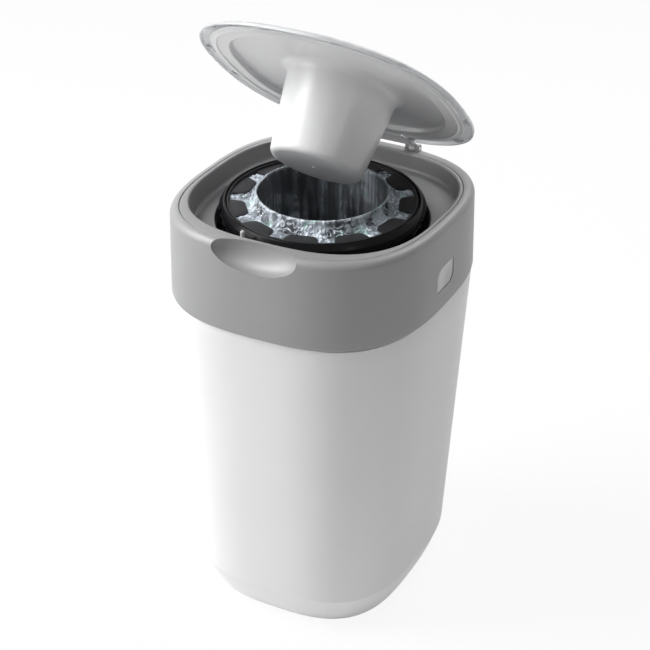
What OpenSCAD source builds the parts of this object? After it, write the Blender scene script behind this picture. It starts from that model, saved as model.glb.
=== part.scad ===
// Nappy bin with a film cassette. A tapering tub carries a hinged head. The head holds a
// deck with a round well, a turntable that twists the film, and a lid with a plunger.
// The origin is on the floor under the middle of the head; -Y is the front, +Z is up.
// The lid stands part open and the head is shut on the tub.

/* [Outline] */
// Width of the head across its sides
head_w = 249; // [246:1:262]
// Depth of the head from front to back
head_d = 272.8; // [270:0.2:286]
// Height of the head's rim above the floor, half way back
rim_z = 401.1; // [387:0.1:417]
// Slope of the rim down towards the back, in degrees
rim_tilt = 2.3; // [1.5:0.1:2.6]
// Height of the head from its lower edge to its rim, half way back
head_h = 79.9; // [78:0.1:86]
// How far the head's side leans in from its lower edge to its rim
head_draft = 0.9; // [0.5:0.1:1.2]
// Squareness of the head's outline: 2 is an oval, more is squarer
head_n = 2.8; // [2.6:0.1:3.2]
// Width of the foot on the floor
foot_w = 182; // [170:1:190]
// Depth of the foot on the floor
foot_d = 203.4; // [190:0.2:212]
// Width of the tub at the top of the slope round its foot
slope_w = 208.5; // [200:0.5:216]
// Depth of the tub at the top of the slope round its foot
slope_d = 233; // [224:1:240]
// Height of the slope round the foot
slope_h = 33.4; // [26:0.2:40]
// How far the tub's wall stands inside the head's outline at the seam
tub_step = 2.3; // [2:0.1:2.9]

/* [Walls] */
// Wall of the tub
tub_wall = 3; // [2.4:0.1:3.4]
// Wall of the head's shell
shell_wall = 2.8; // [2.2:0.1:3]
// Wall of the deck and its well
deck_wall = 2.5; // [2:0.1:3]
// Radius of the rounded edge round the rim
rim_r = 7.2; // [5:0.1:7.4]

/* [Deck] */
// Width of the rim left beside the deck
rim_side = 9.3; // [9.2:0.05:10]
// Width of the rim left in front of and behind the deck
rim_end = 12.2; // [12.1:0.05:13.4]
// How far the deck sits towards the front
deck_shift = 3; // [2:0.1:3.1]
// Width of the deck beside the basin's mouth
mouth_side = 4; // [3.9:0.05:5]
// Width of the deck in front of and behind the basin's mouth
mouth_end = 8.8; // [8.7:0.05:9.6]
// Depth of the basin below the rim
basin_h = 21.1; // [19:0.1:22]
// Least room between the round well and the head's sides
well_side = 27.5; // [27:0.1:30]
// Least room between the round well and the head's front and back
well_end = 39.4; // [39:0.1:42]
// Depth of the well's floor below the rim
well_h = 60.1; // [58:0.1:62]
// Distance of the well's axis in front of the middle
axis_shift = 3.8; // [2.5:0.1:5]

/* [Turntable and cassette] */
// Distance of the turntable's crest in from the well's wall
crest_in = 8.5; // [7:0.1:9]
// Distance of the turntable's flared skirt in from the well's wall
flare_in = 3.9; // [3:0.1:4.2]
// Distance of the turntable's hub in from the well's wall
hub_in = 31; // [29:0.5:33]
// Radial clearance of the turning hub
hub_fit = 0.05; // [0.02:0.01:0.1]
// Number of click teeth round the turntable
click_teeth = 36; // [36]
// Distance of the cassette's core in from the well's wall
core_in = 38.8; // [38:0.1:39.4]
// Wall of the cassette's plastic parts
cassette_wall = 1.4; // [1.2:0.1:1.6]
// Number of petals round the cassette's cover
petals = 11; // [10:1:14]
// Length of the petals
petal_l = 14.5; // [12:0.5:15]
// Distance of the gaps between the petals in from the well's wall
petal_root_in = 13.6; // [13.2:0.1:15]
// Height of the film's collar above the rim
collar_h = 5.1; // [3.7:0.1:5.7]

/* [Lid] */
// Angle at which the lid stands open
lid_open = 40.9; // [30:0.1:60]
// Width of the lid
lid_w = 243.6; // [238:0.2:246]
// Depth of the lid from front to back
lid_d = 248; // [244:0.5:250]
// Distance of the lid's back edge in front of its hinge line
lid_back = 15.6; // [14.6:0.1:17]
// Height of the lid's edge above the rim when shut
lid_gap = 2; // [1.6:0.1:3]
// Height of the lid's crown above its edge
crown_h = 15.6; // [15.2:0.1:18]
// Wall of the clear cover
cover_wall = 1.4; // [1.2:0.1:1.5]
// Wall of the liner and its plunger
liner_wall = 1.4; // [1.2:0.1:1.5]
// Room round the plunger's root inside the cassette's core
plunger_room = 7.2; // [6.2:0.1:10]
// How much narrower the plunger's radius is at its tip
plunger_taper = 8; // [7:0.5:11]
// Length of the plunger below the pan
plunger_h = 81.7; // [76:0.1:82]

/* [Hinges and buttons] */
// Distance of the lid's hinge line in from the head's back
hinge_in = 9.4; // [9.1:0.1:9.8]
// Radius of the pins of the lid's hinge
lid_pin_r = 2; // [1.5:0.1:2.3]
// Radius of the pins that the head swings on
head_pin_r = 1.6; // [1.4:0.1:1.8]
// Radial clearance of each hinge pin
pin_fit = 0.05; // [0.02:0.01:0.1]
// Length of a side button
button_l = 33; // [30:0.5:36]
// Height of a side button
button_h = 21.6; // [19:0.2:24]
// Height of the buttons' middle above the head's lower edge
button_z = 30; // [28:0.5:34]
// Travel of a side button
button_travel = 4; // [3:0.1:4.5]

/* [Hidden] */

$fn = 72;
sides = 60;            // corners round each squared oval
eps = 0.01;
gap = 0.3;             // clear space between pieces that must not touch
skin_gap = 0.1;        // clear space between moulded pieces that seat on each other

head_a = head_w / 2;
head_b = head_d / 2;
head_z = rim_z - head_h;
head_tuck = 0.8;       // the head draws in this much at its lower edge
seam = 0.5;
shoulder_z = head_z - seam;
tub_a = head_a - tub_step;
tub_b = head_b - tub_step;
tub_n = 3;
foot_recess = 3;
foot_ring = 5;
base_t = 3.5;
neck_gap = 1.6;        // between the tub's neck and the head's shell
neck_h = 13.6;
neck_a = head_a - head_tuck - shell_wall - neck_gap;
neck_b = head_b - head_tuck - shell_wall - neck_gap;

deck_a = head_a - rim_side;
deck_b = head_b - rim_end;
deck_n = 2.85;
mouth_a = deck_a - mouth_side;
mouth_b = deck_b - mouth_end;
mouth_n = 2.8;
mouth_y = 1.8;
basin_z = rim_z - basin_h;
foot_in = 5;           // the basin's wall curves in this much to its floor
well_r = min(head_a - well_side, head_b - well_end);
well_z = rim_z - well_h;
ledge_t = 2.6;
deck_drop = 0.1;       // the deck lies this much below the rim
mouth_wall = deck_wall * 1.1;
hook_w = 28;
hook_l = 2.4;
hook_t = 2.2;
deck_edge_z = rim_z - deck_drop - deck_wall;
ledge_z = deck_edge_z - skin_gap;
under_z = ledge_z - ledge_t;
curb_r = well_r - 18;  // wall under the well that carries the gripper ring
curb_z = well_z - 21;

scoop_y = -(head_b - 2.9);
scoop_z = rim_z + 0.4;
scoop_size = [41, 15.8, 17.5];
scoop_wall = 2;

crest_r = well_r - crest_in;
flare_r = well_r - flare_in;
hub_r = well_r - hub_in;
core_r = well_r - core_in;
petal_root_r = well_r - petal_root_in;
petal_r = petal_root_r - petal_l;
plunger_r = core_r - plunger_room;
plunger_tip_r = plunger_r - plunger_taper;
drum_r = crest_r + 1.8;
drum_wall = 2.2;
crest_z = rim_z - 3.2;
flare_z = rim_z - 9.1;
table_z = well_z + skin_gap;
table_t = 2.4;
hub_wall = 2.5;
hub_h = 6.8;           // the hub reaches this far below the well's floor
hub_lip = 1.4;
tooth_r = drum_r + 1.9;
tooth_z = basin_z + 0.5;
tooth_h = 2.2;
tooth_pitch = 360 / click_teeth;

tray_z = table_z + table_t;
tray_r = crest_r - 2.2;
tray_top = rim_z - 7.4;
core_top = rim_z + collar_h - 2.4;
cover_z = tray_top + skin_gap;
cover_t = 1.5;
film_t = 0.7;
throat_r = core_r - gap - film_t;
film_low = table_z - hub_h;
pack_gap = 0.6;

lid_hinge_y = head_b - hinge_in;
lid_hinge_z = rim_z + 2.6;
lid_a = lid_w / 2;
lid_b = lid_d / 2;
lid_shift = lid_b + lid_back - lid_hinge_y;
lid_n = 2.51;
lid_z = rim_z + lid_gap;
flange_in = 9;         // the liner's edge stands this far inside the cover's
recess_in = 26;
flange_z = lid_z + 0.8;
pan_z = lid_z + 5.6;
root_z = lid_z + 8.6;
tip_z = root_z - plunger_h;
tip_round = 6;
pin_x = head_a * 0.232; // middle of each lid hinge
lid_knuckle_w = 6.4;
lid_knuckle_r = 3.8;
lid_ear_w = 3.6;
lid_slot_w = 2 * (lid_ear_w + gap) + lid_knuckle_w;

head_hinge_y = head_b - 3.4;
head_hinge_z = head_z - 0.2;
knuckle_r = 3.2;
knuckle_w = 14;
ear_w = 3.7;
hinge_x = head_a * 0.28; // middle of each hinge of the head
barrel_w = knuckle_w + 2 * (gap + ear_w);
bracket_t = 2.5;
bracket_h = 26;
bracket_y = head_b - shell_wall - 4.6;
screw_r = 1.4;
screw_fit = 0.05;
screw_head_r = 2.8;
screw_head_h = 1.8;

button_mid_y = -7.2;
button_mid_z = head_z + button_z;
button_face = head_a - 0.9;
button_play = 0.45;
button_lip = 2;
flange_t = 1.8;
flange_x = head_a - shell_wall - head_draft * 0.6 - 0.5;
spring_r = 5;
spring_wire = 0.9;
spring_turns = 5;
// the spring's coils are still apart when the button is pushed right in
spring_l = 2 * spring_wire * (spring_turns + 1) + button_travel + 0.2;
spring_x = flange_x - flange_t - spring_l;
button_clear = button_travel + 4;  // room behind the button's stem
toe_l = 3;
toe_t = 2.4;
leg_t = 2.2;
leg_w = 14;
thumb_r = 60;          // hollow in the button's face
thumb_deep = 1.1;

// A squared oval of half-sizes s[0] and s[1] and squareness s[2], centred at y = s[3], z = s[4].
// It slopes with the rim where s[5] is 1, and is level where it is 0.
function oval(s) = [
    for (i = [0 : sides - 1])
        let (t = 360 * i / sides, c = cos(t), d = sin(t))
        let (r = pow(pow(abs(c), s[2]) + pow(abs(d), s[2]), -1 / s[2]), y = s[3] + s[1] * r * d)
        [s[0] * r * c, y, s[4] - s[5] * y * tan(rim_tilt)]
];

function band(j, k) = [
    for (i = [0 : sides - 1])
        let (m = (i + 1) % sides)
        each [
            [j * sides + i, k * sides + i, k * sides + m],
            [j * sides + i, k * sides + m, j * sides + m]
        ]
];

// A solid through sections from its first end to its last. The ends are flat. Where the
// sections turn and come back inside, it is a cup.
module loft(sections) {
    last = len(sections) - 1;
    polyhedron(
        points = [for (s = sections) each oval(s)],
        faces = concat(
            [[for (i = [0 : sides - 1]) i]],
            [for (j = [0 : last - 1]) each band(j, j + 1)],
            [[for (i = [sides - 1 : -1 : 0]) last * sides + i]]
        )
    );
}

// A ring-shaped skin: up the outside, over and down the inside, back to its first section.
module skin(sections) {
    count = len(sections);
    polyhedron(
        points = [for (s = sections) each oval(s)],
        faces = [for (j = [0 : count - 1]) each band(j, (j + 1) % count)]
    );
}

module at_well() {
    translate([0, -axis_shift, 0]) children();
}

// Tilts its children, drawn as if the rim were level, with the rim.
module at_rim() {
    translate([0, 0, rim_z]) rotate([-rim_tilt, 0, 0]) translate([0, 0, -rim_z]) children();
}

// Turns its children with the lid, from shut to where it stands open.
module opened() {
    at_rim() translate([0, lid_hinge_y, lid_hinge_z])
        rotate([-lid_open, 0, 0])
            translate([0, -lid_hinge_y, -lid_hinge_z]) children();
}

module both_sides() {
    for (s = [0, 1]) mirror([s, 0, 0]) children();
}

// A bar along X through y, z.
module rod(r, x0, x1, y, z) {
    translate([x0, y, z]) rotate([0, 90, 0]) cylinder(r = r, h = x1 - x0);
}

module block(x0, x1, y0, y1, z0, z1) {
    translate([x0, y0, z0]) cube([x1 - x0, y1 - y0, z1 - z0]);
}

module tube(r_out, r_in, z0, z1) {
    translate([0, 0, z0]) difference() {
        cylinder(r = r_out, h = z1 - z0);
        translate([0, 0, -1]) cylinder(r = r_in, h = z1 - z0 + 2);
    }
}

// ---- Tub ----

function tub_at(z, d) =
    let (f = (z - slope_h) / (shoulder_z - slope_h))
    [slope_w / 2 + f * (tub_a - slope_w / 2) - d, slope_d / 2 + f * (tub_b - slope_d / 2) - d,
        tub_n, 0, z, 0];

// The slope round the foot swells a little between its two edges.
function slope_at(f, d, z) =
    let (swell = 0.9 * sin(180 * f))
    [foot_w / 2 + f * (slope_w - foot_w) / 2 + swell - d,
        foot_d / 2 + f * (slope_d - foot_d) / 2 + swell - d, tub_n, 0, z, 0];

function neck_at(d, z) = [neck_a - d, neck_b - d, head_n, 0, z, 0];

module tub_skin() {
    floor_z = foot_recess + base_t;
    neck_top = shoulder_z + neck_h;
    neck_low = shoulder_z - 4;
    loft([
        slope_at(0, foot_ring + 1, foot_recess),
        slope_at(0, foot_ring, 0),
        slope_at(0, 0.6, 0),
        slope_at(0.02, 0, 0.8),
        slope_at(0.35, 0, slope_h * 0.35),
        slope_at(0.7, 0, slope_h * 0.7),
        slope_at(0.94, 0.1, slope_h * 0.94),
        tub_at(slope_h * 1.1, 0.1),
        tub_at(shoulder_z - 0.8, 0),
        tub_at(shoulder_z, 0.8),
        neck_at(0, shoulder_z),
        neck_at(0, neck_top - 1),
        neck_at(0.8, neck_top),
        neck_at(tub_wall - 0.6, neck_top),
        neck_at(tub_wall, neck_low),
        tub_at(neck_low - 5, tub_wall),
        tub_at(slope_h * 1.1, tub_wall),
        slope_at(0.7, tub_wall, slope_h * 0.7),
        slope_at(0.3, tub_wall + 1.5, floor_z + 1.5),
        slope_at(0.3, tub_wall + 4.5, floor_z)
    ]);
}

// Bodies of revolution round the head's hinge line, on the right-hand side.
module hinge_barrel(r, x0, x1) {
    rod(r, x0, x1, head_hinge_y, head_hinge_z);
}

module tub() {
    in_x = hinge_x - barrel_w / 2;
    out_x = hinge_x + barrel_w / 2;
    relief_r = knuckle_r + 0.5;
    color("white") difference() {
        union() {
            difference() {
                tub_skin();
                // the neck stops short of the hinge, and the shoulder is eased where the shell
                // swings down past it
                block(-out_x - 6, out_x + 6, head_b - 20, head_b, shoulder_z + eps, rim_z);
                block(-out_x, out_x, head_hinge_y - 0.9, head_b, shoulder_z - 3.4, rim_z);
                both_sides() {
                    hinge_barrel(relief_r, in_x + ear_w, out_x - ear_w);
                    // slot for the toe of the side button
                    block(neck_a - tub_wall - toe_l, neck_a + 1,
                        button_mid_y - leg_w / 2 - toe_l, button_mid_y + leg_w / 2 + toe_l,
                        shoulder_z + 1.5, rim_z);
                }
            }
            both_sides() for (x = [in_x, out_x - ear_w]) {
                hinge_barrel(knuckle_r, x, x + ear_w);
                block(x, x + ear_w, head_hinge_y - knuckle_r, head_hinge_y - 0.6,
                    shoulder_z - 9, head_hinge_z);
            }
        }
        both_sides() hinge_barrel(head_pin_r, in_x - 1, out_x + 1);
    }
}

module head_hinge_pins() {
    length = barrel_w;
    color("silver") both_sides()
        hinge_barrel(head_pin_r - eps, hinge_x - length / 2, hinge_x + length / 2);
}

// ---- Head ----

// The head's outline drawn in by d. It is level, or slopes with the rim where slope is 1.
function head_at(d, z, slope) = [head_a - d, head_b - d, head_n, 0, z, slope];
function deck_at(d, z) = [deck_a - d, deck_b - d, deck_n, -deck_shift, z, 1];
function mouth_at(d, z, slope) = [mouth_a - d, mouth_b - d, mouth_n, mouth_y, z, slope];

// The head's outside, from its lower edge up its side and over the rounded rim.
function head_side() = [
    head_at(head_tuck, head_z, 0),
    head_at(head_tuck * 0.3, head_z + 1, 0),
    head_at(0, head_z + 3.5, 0),
    for (t = [0 : 22.5 : 90])
        head_at(head_draft + rim_r * (1 - cos(t)), rim_z - rim_r * (1 - sin(t)), 1)
];

module shell_skin() {
    ledge_in = mouth_wall + gap;  // the ledge stops this far outside the basin's mouth
    skin(concat(head_side(), [
        deck_at(0, rim_z),
        deck_at(0, ledge_z),
        mouth_at(-ledge_in, ledge_z, 1),
        mouth_at(-ledge_in, under_z, 1),
        head_at(head_draft + shell_wall + 1.6, under_z, 1),
        head_at(head_draft + shell_wall, under_z - 5, 1),
        head_at(shell_wall, head_z + 3.5, 0),
        head_at(head_tuck + shell_wall, head_z, 0)
    ]));
}

module scoop(grow) {
    translate([0, scoop_y, scoop_z])
        scale([scoop_size[0] + grow, scoop_size[1] + grow, scoop_size[2] + grow])
            sphere(r = 1, $fn = 48);
}

// The button's outline in the Y-Z plane: a leaf with two round and two sharp corners.
function leaf(l, h, big, small) = [
    for (c = [[1, 1, small], [-1, 1, big], [-1, -1, small], [1, -1, big]])
        for (k = [0 : 6])
            let (turn = (c[0] == 1 ? (c[1] == 1 ? 0 : 270) : (c[1] == 1 ? 90 : 180)) + 15 * k)
            [c[0] * (l / 2 - c[2]) + c[2] * cos(turn), c[1] * (h / 2 - c[2]) + c[2] * sin(turn)]
];

module leaf_plate(x0, x1, grow) {
    big = button_h * 0.42;
    translate([x0, button_mid_y, button_mid_z]) rotate([90, 0, 90])
        linear_extrude(x1 - x0)
            polygon(leaf(button_l + 2 * grow, button_h + 2 * grow, big + grow, 2 + grow));
}

screw_spots = [for (x = [-1, 1]) [x * deck_a * 0.55, -mouth_b * 0.979]];
boss_r = 4.4;
boss_h = 5;

module head_shell() {
    notch_x = hinge_x - barrel_w / 2 - gap;
    color("darkgray") difference() {
        union() {
            shell_skin();
            intersection() {
                union() {
                    scoop(scoop_wall);
                    at_rim() for (p = screw_spots)
                        translate([p[0], p[1], ledge_z - boss_h]) cylinder(r = boss_r, h = boss_h);
                    // pads that the hinge bracket is screwed to
                    both_sides() for (x = screw_xs)
                        translate([x, bracket_y + skin_gap, bracket_screw_z]) rotate([-90, 0, 0])
                            cylinder(r = boss_r, h = head_b - bracket_y);
                }
                loft(head_side());
            }
        }
        scoop(0);
        // windows for the side buttons
        both_sides() leaf_plate(head_a - 8, head_a + 2, button_play);
        // notches round the ears and knuckles of the head's hinge
        both_sides() block(notch_x, notch_x + barrel_w + 2 * gap, head_b - 14, head_b + 1,
            head_z - 1, head_hinge_z + knuckle_r + 0.5);
        at_rim() for (p = screw_spots)
            translate([p[0], p[1], ledge_z - boss_h - 1])
                cylinder(r = screw_r + screw_fit, h = boss_h + 2);
        both_sides() for (x = screw_xs)
            translate([x, bracket_y, bracket_screw_z]) rotate([-90, 0, 0])
                cylinder(r = screw_r + screw_fit, h = bracket_screw_l + gap);
        // slots in the rim for the lid's hinge
        at_rim() both_sides() lid_hinge_room();
    }
}

// The space cut in the rim for one hinge of the lid.
module lid_hinge_room() {
    r = lid_knuckle_r + gap;
    x0 = pin_x - lid_slot_w / 2 - gap;
    x1 = pin_x + lid_slot_w / 2 + gap;
    rod(r, x0, x1, lid_hinge_y, lid_hinge_z);
    block(x0, x1, lid_hinge_y - r, lid_hinge_y + r, under_z - 2, lid_hinge_z);
}

module deck_skin() {
    top = rim_z - deck_drop;
    wall = deck_wall;
    edge = well_r + 1.4;
    skin([
        deck_at(skin_gap, deck_edge_z),
        deck_at(skin_gap, top),
        mouth_at(-1.8, top, 1),
        mouth_at(-0.5, top - 0.6, 1),
        mouth_at(0, top - 2, 1),
        mouth_at(1.2, basin_z + 4, 0),
        mouth_at(2.4, basin_z + 1.2, 0),
        mouth_at(foot_in, basin_z - 0.1, 0),
        [edge, edge, 2, -axis_shift, basin_z - 0.1, 0],
        [edge, edge, 2, -axis_shift, basin_z - 1.9, 0],
        mouth_at(foot_in, basin_z - wall, 0),
        mouth_at(2.4 - wall * 0.7, basin_z - wall * 0.3, 0),
        mouth_at(1.2 - wall, basin_z + 4, 0),
        mouth_at(-mouth_wall, deck_edge_z, 1)
    ]);
}

// Lip behind the basin that hooks under the shell's ledge.
module deck_hook() {
    wall_y = mouth_b + mouth_y + mouth_wall;
    at_rim() block(-hook_w / 2, hook_w / 2, wall_y - 1.3, wall_y + gap + hook_l,
        under_z - skin_gap - hook_t, under_z - skin_gap);
}

// The well, its floor with the bearing bore, and the curb below it.
module well() {
    wall = deck_wall;
    at_well() rotate_extrude() polygon([
        [well_r + 4.5, basin_z],
        [well_r + 1, basin_z],
        [well_r, basin_z - 1],
        [well_r, well_z],
        [hub_r + hub_fit, well_z],
        [hub_r + hub_fit, well_z - wall],
        [curb_r - wall, well_z - wall],
        [curb_r - wall, curb_z],
        [curb_r, curb_z],
        [curb_r, well_z - wall],
        [well_r + wall, well_z - wall],
        [well_r + wall, basin_z - wall - 0.3],
        [well_r + 4.5, basin_z - wall - 0.3]
    ]);
}

pawl_r = 2;
pawl_turn = -106.55;
pawl_reach = well_r + 3.05;
pawl_spot = [pawl_reach * cos(pawl_turn), pawl_reach * sin(pawl_turn) - axis_shift];
pawl_seat = 2.2;
pawl_top = rim_z + 1.7;

module head_deck() {
    color("darkgray") difference() {
        union() {
            deck_skin();
            deck_hook();
            well();
            // bosses that the button springs bear on
            both_sides() intersection() {
                rod(spring_r + 1.5, well_r - 6, spring_x, button_mid_y, button_mid_z);
                at_well() tube(head_a, well_r + 1, well_z, basin_z);
            }
        }
        scoop(scoop_wall + skin_gap);
        translate([pawl_spot[0], pawl_spot[1], basin_z - pawl_seat])
            cylinder(r = pawl_r + screw_fit, h = pawl_seat + 5);
        at_rim() for (p = screw_spots)
            translate([p[0], p[1], deck_edge_z - 1])
                cylinder(r = screw_r + screw_fit, h = 2.9);
    }
}

bracket_screw_z = head_z + 20;
bracket_screw_l = 3.6;
screw_xs = [hinge_x * 0.4, hinge_x + 5];

module head_hinge_bracket() {
    knuckle_x = hinge_x - knuckle_w / 2;
    plate_x = hinge_x + 11;
    low = head_z + 6;
    color("dimgray") difference() {
        union() {
            block(-plate_x, plate_x, bracket_y - bracket_t, bracket_y, low, low + bracket_h);
            both_sides() {
                hinge_barrel(knuckle_r, knuckle_x, knuckle_x + knuckle_w);
                block(knuckle_x, knuckle_x + knuckle_w, bracket_y - bracket_t,
                    head_hinge_y, head_hinge_z + 0.2, head_hinge_z + knuckle_r);
                block(knuckle_x, knuckle_x + knuckle_w, bracket_y - bracket_t,
                    bracket_y, head_hinge_z + 2, low + 1);
            }
        }
        both_sides() {
            hinge_barrel(head_pin_r + pin_fit, knuckle_x - 1, knuckle_x + knuckle_w + 1);
            for (x = screw_xs)
                translate([x, bracket_y - bracket_t - 1, bracket_screw_z]) rotate([-90, 0, 0])
                    cylinder(r = screw_r + screw_fit, h = bracket_t + 2);
        }
    }
}

// A cross-head screw pointing along +Z, its head's seat at z = 0.
module screw(length) {
    difference() {
        union() {
            cylinder(r = screw_r, h = length);
            translate([0, 0, -screw_head_h]) cylinder(r = screw_head_r, h = screw_head_h);
        }
        for (a = [0, 90]) rotate([0, 0, a])
            block(-1.6, 1.6, -0.35, 0.35, -screw_head_h - 1, -screw_head_h + 0.9);
    }
}

module hinge_screws() {
    color("silver") both_sides() for (x = screw_xs)
        translate([x, bracket_y - bracket_t, bracket_screw_z]) rotate([-90, 0, 0])
            screw(bracket_t + bracket_screw_l);
}

module deck_screws() {
    color("silver") at_rim() for (p = screw_spots)
        translate([p[0], p[1], ledge_z - boss_h]) screw(boss_h + skin_gap + 1.7);
}

fingers = 12;
gripper_t = 1.6;
grip_r = core_r - 34.2;
grip_drop = 7;

module gripper_ring() {
    rim_in = curb_r - 23;
    slit = 1.6;
    top = curb_z;
    color("gainsboro") at_well() difference() {
        rotate_extrude() polygon([
            [curb_r, top],
            [curb_r - 2 * deck_wall - gap, top],
            [rim_in, top - 0.5],
            [grip_r, top - grip_drop],
            [grip_r, top - grip_drop - gripper_t],
            [rim_in, top - 0.5 - gripper_t],
            [curb_r, top - gripper_t]
        ]);
        for (k = [0 : fingers - 1]) rotate([0, 0, 360 * k / fingers])
            block(0, rim_in - 1, -slit / 2, slit / 2, top - 20, top + 1);
    }
}

// A light post beside the turntable. Its tooth clicks over the turntable's teeth.
module click_pawl() {
    r = pawl_reach;
    turn = pawl_turn;
    tooth = tooth_pitch * round((turn - tooth_pitch / 2) / tooth_pitch) + tooth_pitch / 2;
    color("lightgray") union() {
        translate([pawl_spot[0], pawl_spot[1], basin_z - pawl_seat]) {
            cylinder(r = pawl_r, h = pawl_top - basin_z + pawl_seat - pawl_r * 0.6);
            translate([0, 0, pawl_top - basin_z + pawl_seat - pawl_r * 0.6])
                cylinder(r1 = pawl_r, r2 = pawl_r * 0.5, h = pawl_r * 0.6);
        }
        at_well() translate([0, 0, tooth_z + 0.1]) linear_extrude(tooth_h - 0.4)
            polygon([
                [r * cos(turn - 1), r * sin(turn - 1)],
                [r * cos(turn + 1), r * sin(turn + 1)],
                [(drum_r + 0.9) * cos(tooth), (drum_r + 0.9) * sin(tooth)]
            ]);
    }
}

cutter_w = 30;
cutter_back_r = well_r + deck_wall + skin_gap;
cutter_room = 10.2;    // between the holder's front and the shell
cutter_front = head_b - shell_wall - axis_shift - cutter_back_r - cutter_room;
cutter_y = -axis_shift - cutter_back_r - cutter_front;
cutter_z = well_z - 8;
cutter_h = 13;
blade_x = 8;
blade_y = cutter_y + 5;
blade_l = 10;
blade_t = 0.6;
blade_z = cutter_z + 4;

module cutter_holder() {
    fit = skin_gap;
    color("dimgray") difference() {
        block(-cutter_w / 2, cutter_w / 2, cutter_y, -axis_shift - cutter_back_r + 3, cutter_z,
            cutter_z + cutter_h);
        at_well() translate([0, 0, cutter_z - 1]) cylinder(r = cutter_back_r, h = cutter_h + 2);
        // the mouth that guides the film onto the blade
        translate([0, 0, cutter_z - 1]) linear_extrude(6) polygon([
            [-9, cutter_y - 1], [9, cutter_y - 1], [1.2, cutter_y + 11], [-1.2, cutter_y + 11]
        ]);
        // the blade's seat
        block(-blade_x - fit, blade_x + fit, blade_y - fit, blade_y + blade_l + fit,
            blade_z, blade_z + blade_t + 2 * fit);
    }
}

module cutter_blade() {
    back = blade_y + blade_l;
    color("silver") translate([0, 0, blade_z + skin_gap]) linear_extrude(blade_t)
        polygon([[-blade_x, blade_y], [-blade_x, back], [blade_x, back], [blade_x, blade_y],
            [0, blade_y + 4]]);
}

lid_foot_t = 2.8;
lid_foot_in = 6.2;

module lid_hinge_brackets() {
    x0 = pin_x - lid_slot_w / 2;
    top = under_z - skin_gap;
    color("darkgray") at_rim() both_sides() difference() {
        union() {
            for (x = [x0, x0 + lid_slot_w - lid_ear_w]) {
                rod(lid_knuckle_r, x, x + lid_ear_w, lid_hinge_y, lid_hinge_z);
                block(x, x + lid_ear_w, lid_hinge_y - lid_knuckle_r,
                    lid_hinge_y + lid_knuckle_r, top - 1, lid_hinge_z);
            }
            // foot that bears on the underside of the shell's ledge
            block(x0 - 4, x0 + lid_slot_w + 4, lid_hinge_y - lid_foot_in,
                lid_hinge_y + 0.5, top - lid_foot_t, top);
        }
        rod(lid_pin_r, x0 - 1, x0 + lid_slot_w + 1, lid_hinge_y, lid_hinge_z);
        // room for the swinging knuckle
        rod(lid_knuckle_r + gap, x0 + lid_ear_w, x0 + lid_slot_w - lid_ear_w,
            lid_hinge_y, lid_hinge_z);
    }
}

module lid_hinge_pins() {
    x0 = pin_x - lid_slot_w / 2;
    color("silver") at_rim() both_sides()
        rod(lid_pin_r - eps, x0, x0 + lid_slot_w, lid_hinge_y, lid_hinge_z);
}

// ---- Side buttons ----

module side_button() {
    toe_z = shoulder_z + 3;
    leg_x = neck_a - tub_wall - 1;
    inner = flange_x - flange_t;
    leg_top = button_mid_z - spring_r - 1.5;
    difference() {
        union() {
            leaf_plate(flange_x - eps, button_face, 0);
            leaf_plate(inner, flange_x, button_lip);
            rod(spring_r - spring_wire - 0.5, spring_x + button_clear, inner + 1,
                button_mid_y, button_mid_z);
            // leg and toe that hold the head down on the tub
            block(leg_x - leg_t, leg_x, button_mid_y - leg_w / 2, button_mid_y + leg_w / 2,
                toe_z, leg_top);
            block(leg_x - leg_t, inner + eps, button_mid_y - leg_w / 2,
                button_mid_y + leg_w / 2, leg_top - 2.5, leg_top);
            block(leg_x - eps, leg_x + toe_l, button_mid_y - leg_w / 2,
                button_mid_y + leg_w / 2, toe_z, toe_z + toe_t);
        }
        // the face is hollowed a little for the thumb
        translate([button_face + thumb_r - thumb_deep, button_mid_y, button_mid_z])
            sphere(r = thumb_r, $fn = 64);
    }
}

// A coil of wire along +X, its first end at x = 0.
module coil(length, r, wire, turns) {
    steps = 12;
    ring = 6;
    count = steps * turns;
    pitch = (length - 2 * wire) / turns;
    polyhedron(
        points = [
            for (i = [0 : count]) let (t = 360 * i / steps)
                for (k = [0 : ring - 1]) let (u = 360 * k / ring, q = r + wire * cos(u))
                    [wire + pitch * i / steps + wire * sin(u), q * cos(t), q * sin(t)]
        ],
        faces = concat(
            [[for (k = [ring - 1 : -1 : 0]) k]],
            [for (i = [0 : count - 1]) for (k = [0 : ring - 1])
                let (m = (k + 1) % ring, a = i * ring, b = (i + 1) * ring)
                each [[a + k, a + m, b + m], [a + k, b + m, b + k]]],
            [[for (k = [0 : ring - 1]) count * ring + k]]
        )
    );
}

module button_spring() {
    translate([spring_x, button_mid_y, button_mid_z])
        coil(flange_x - flange_t - spring_x, spring_r, spring_wire, spring_turns);
}

module side_button_right() {
    color("lightgray") side_button();
}

module side_button_left() {
    color("lightgray") mirror([1, 0, 0]) side_button();
}

module button_spring_right() {
    color("silver") button_spring();
}

module button_spring_left() {
    color("silver") mirror([1, 0, 0]) button_spring();
}

// ---- Turntable and cassette ----

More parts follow.
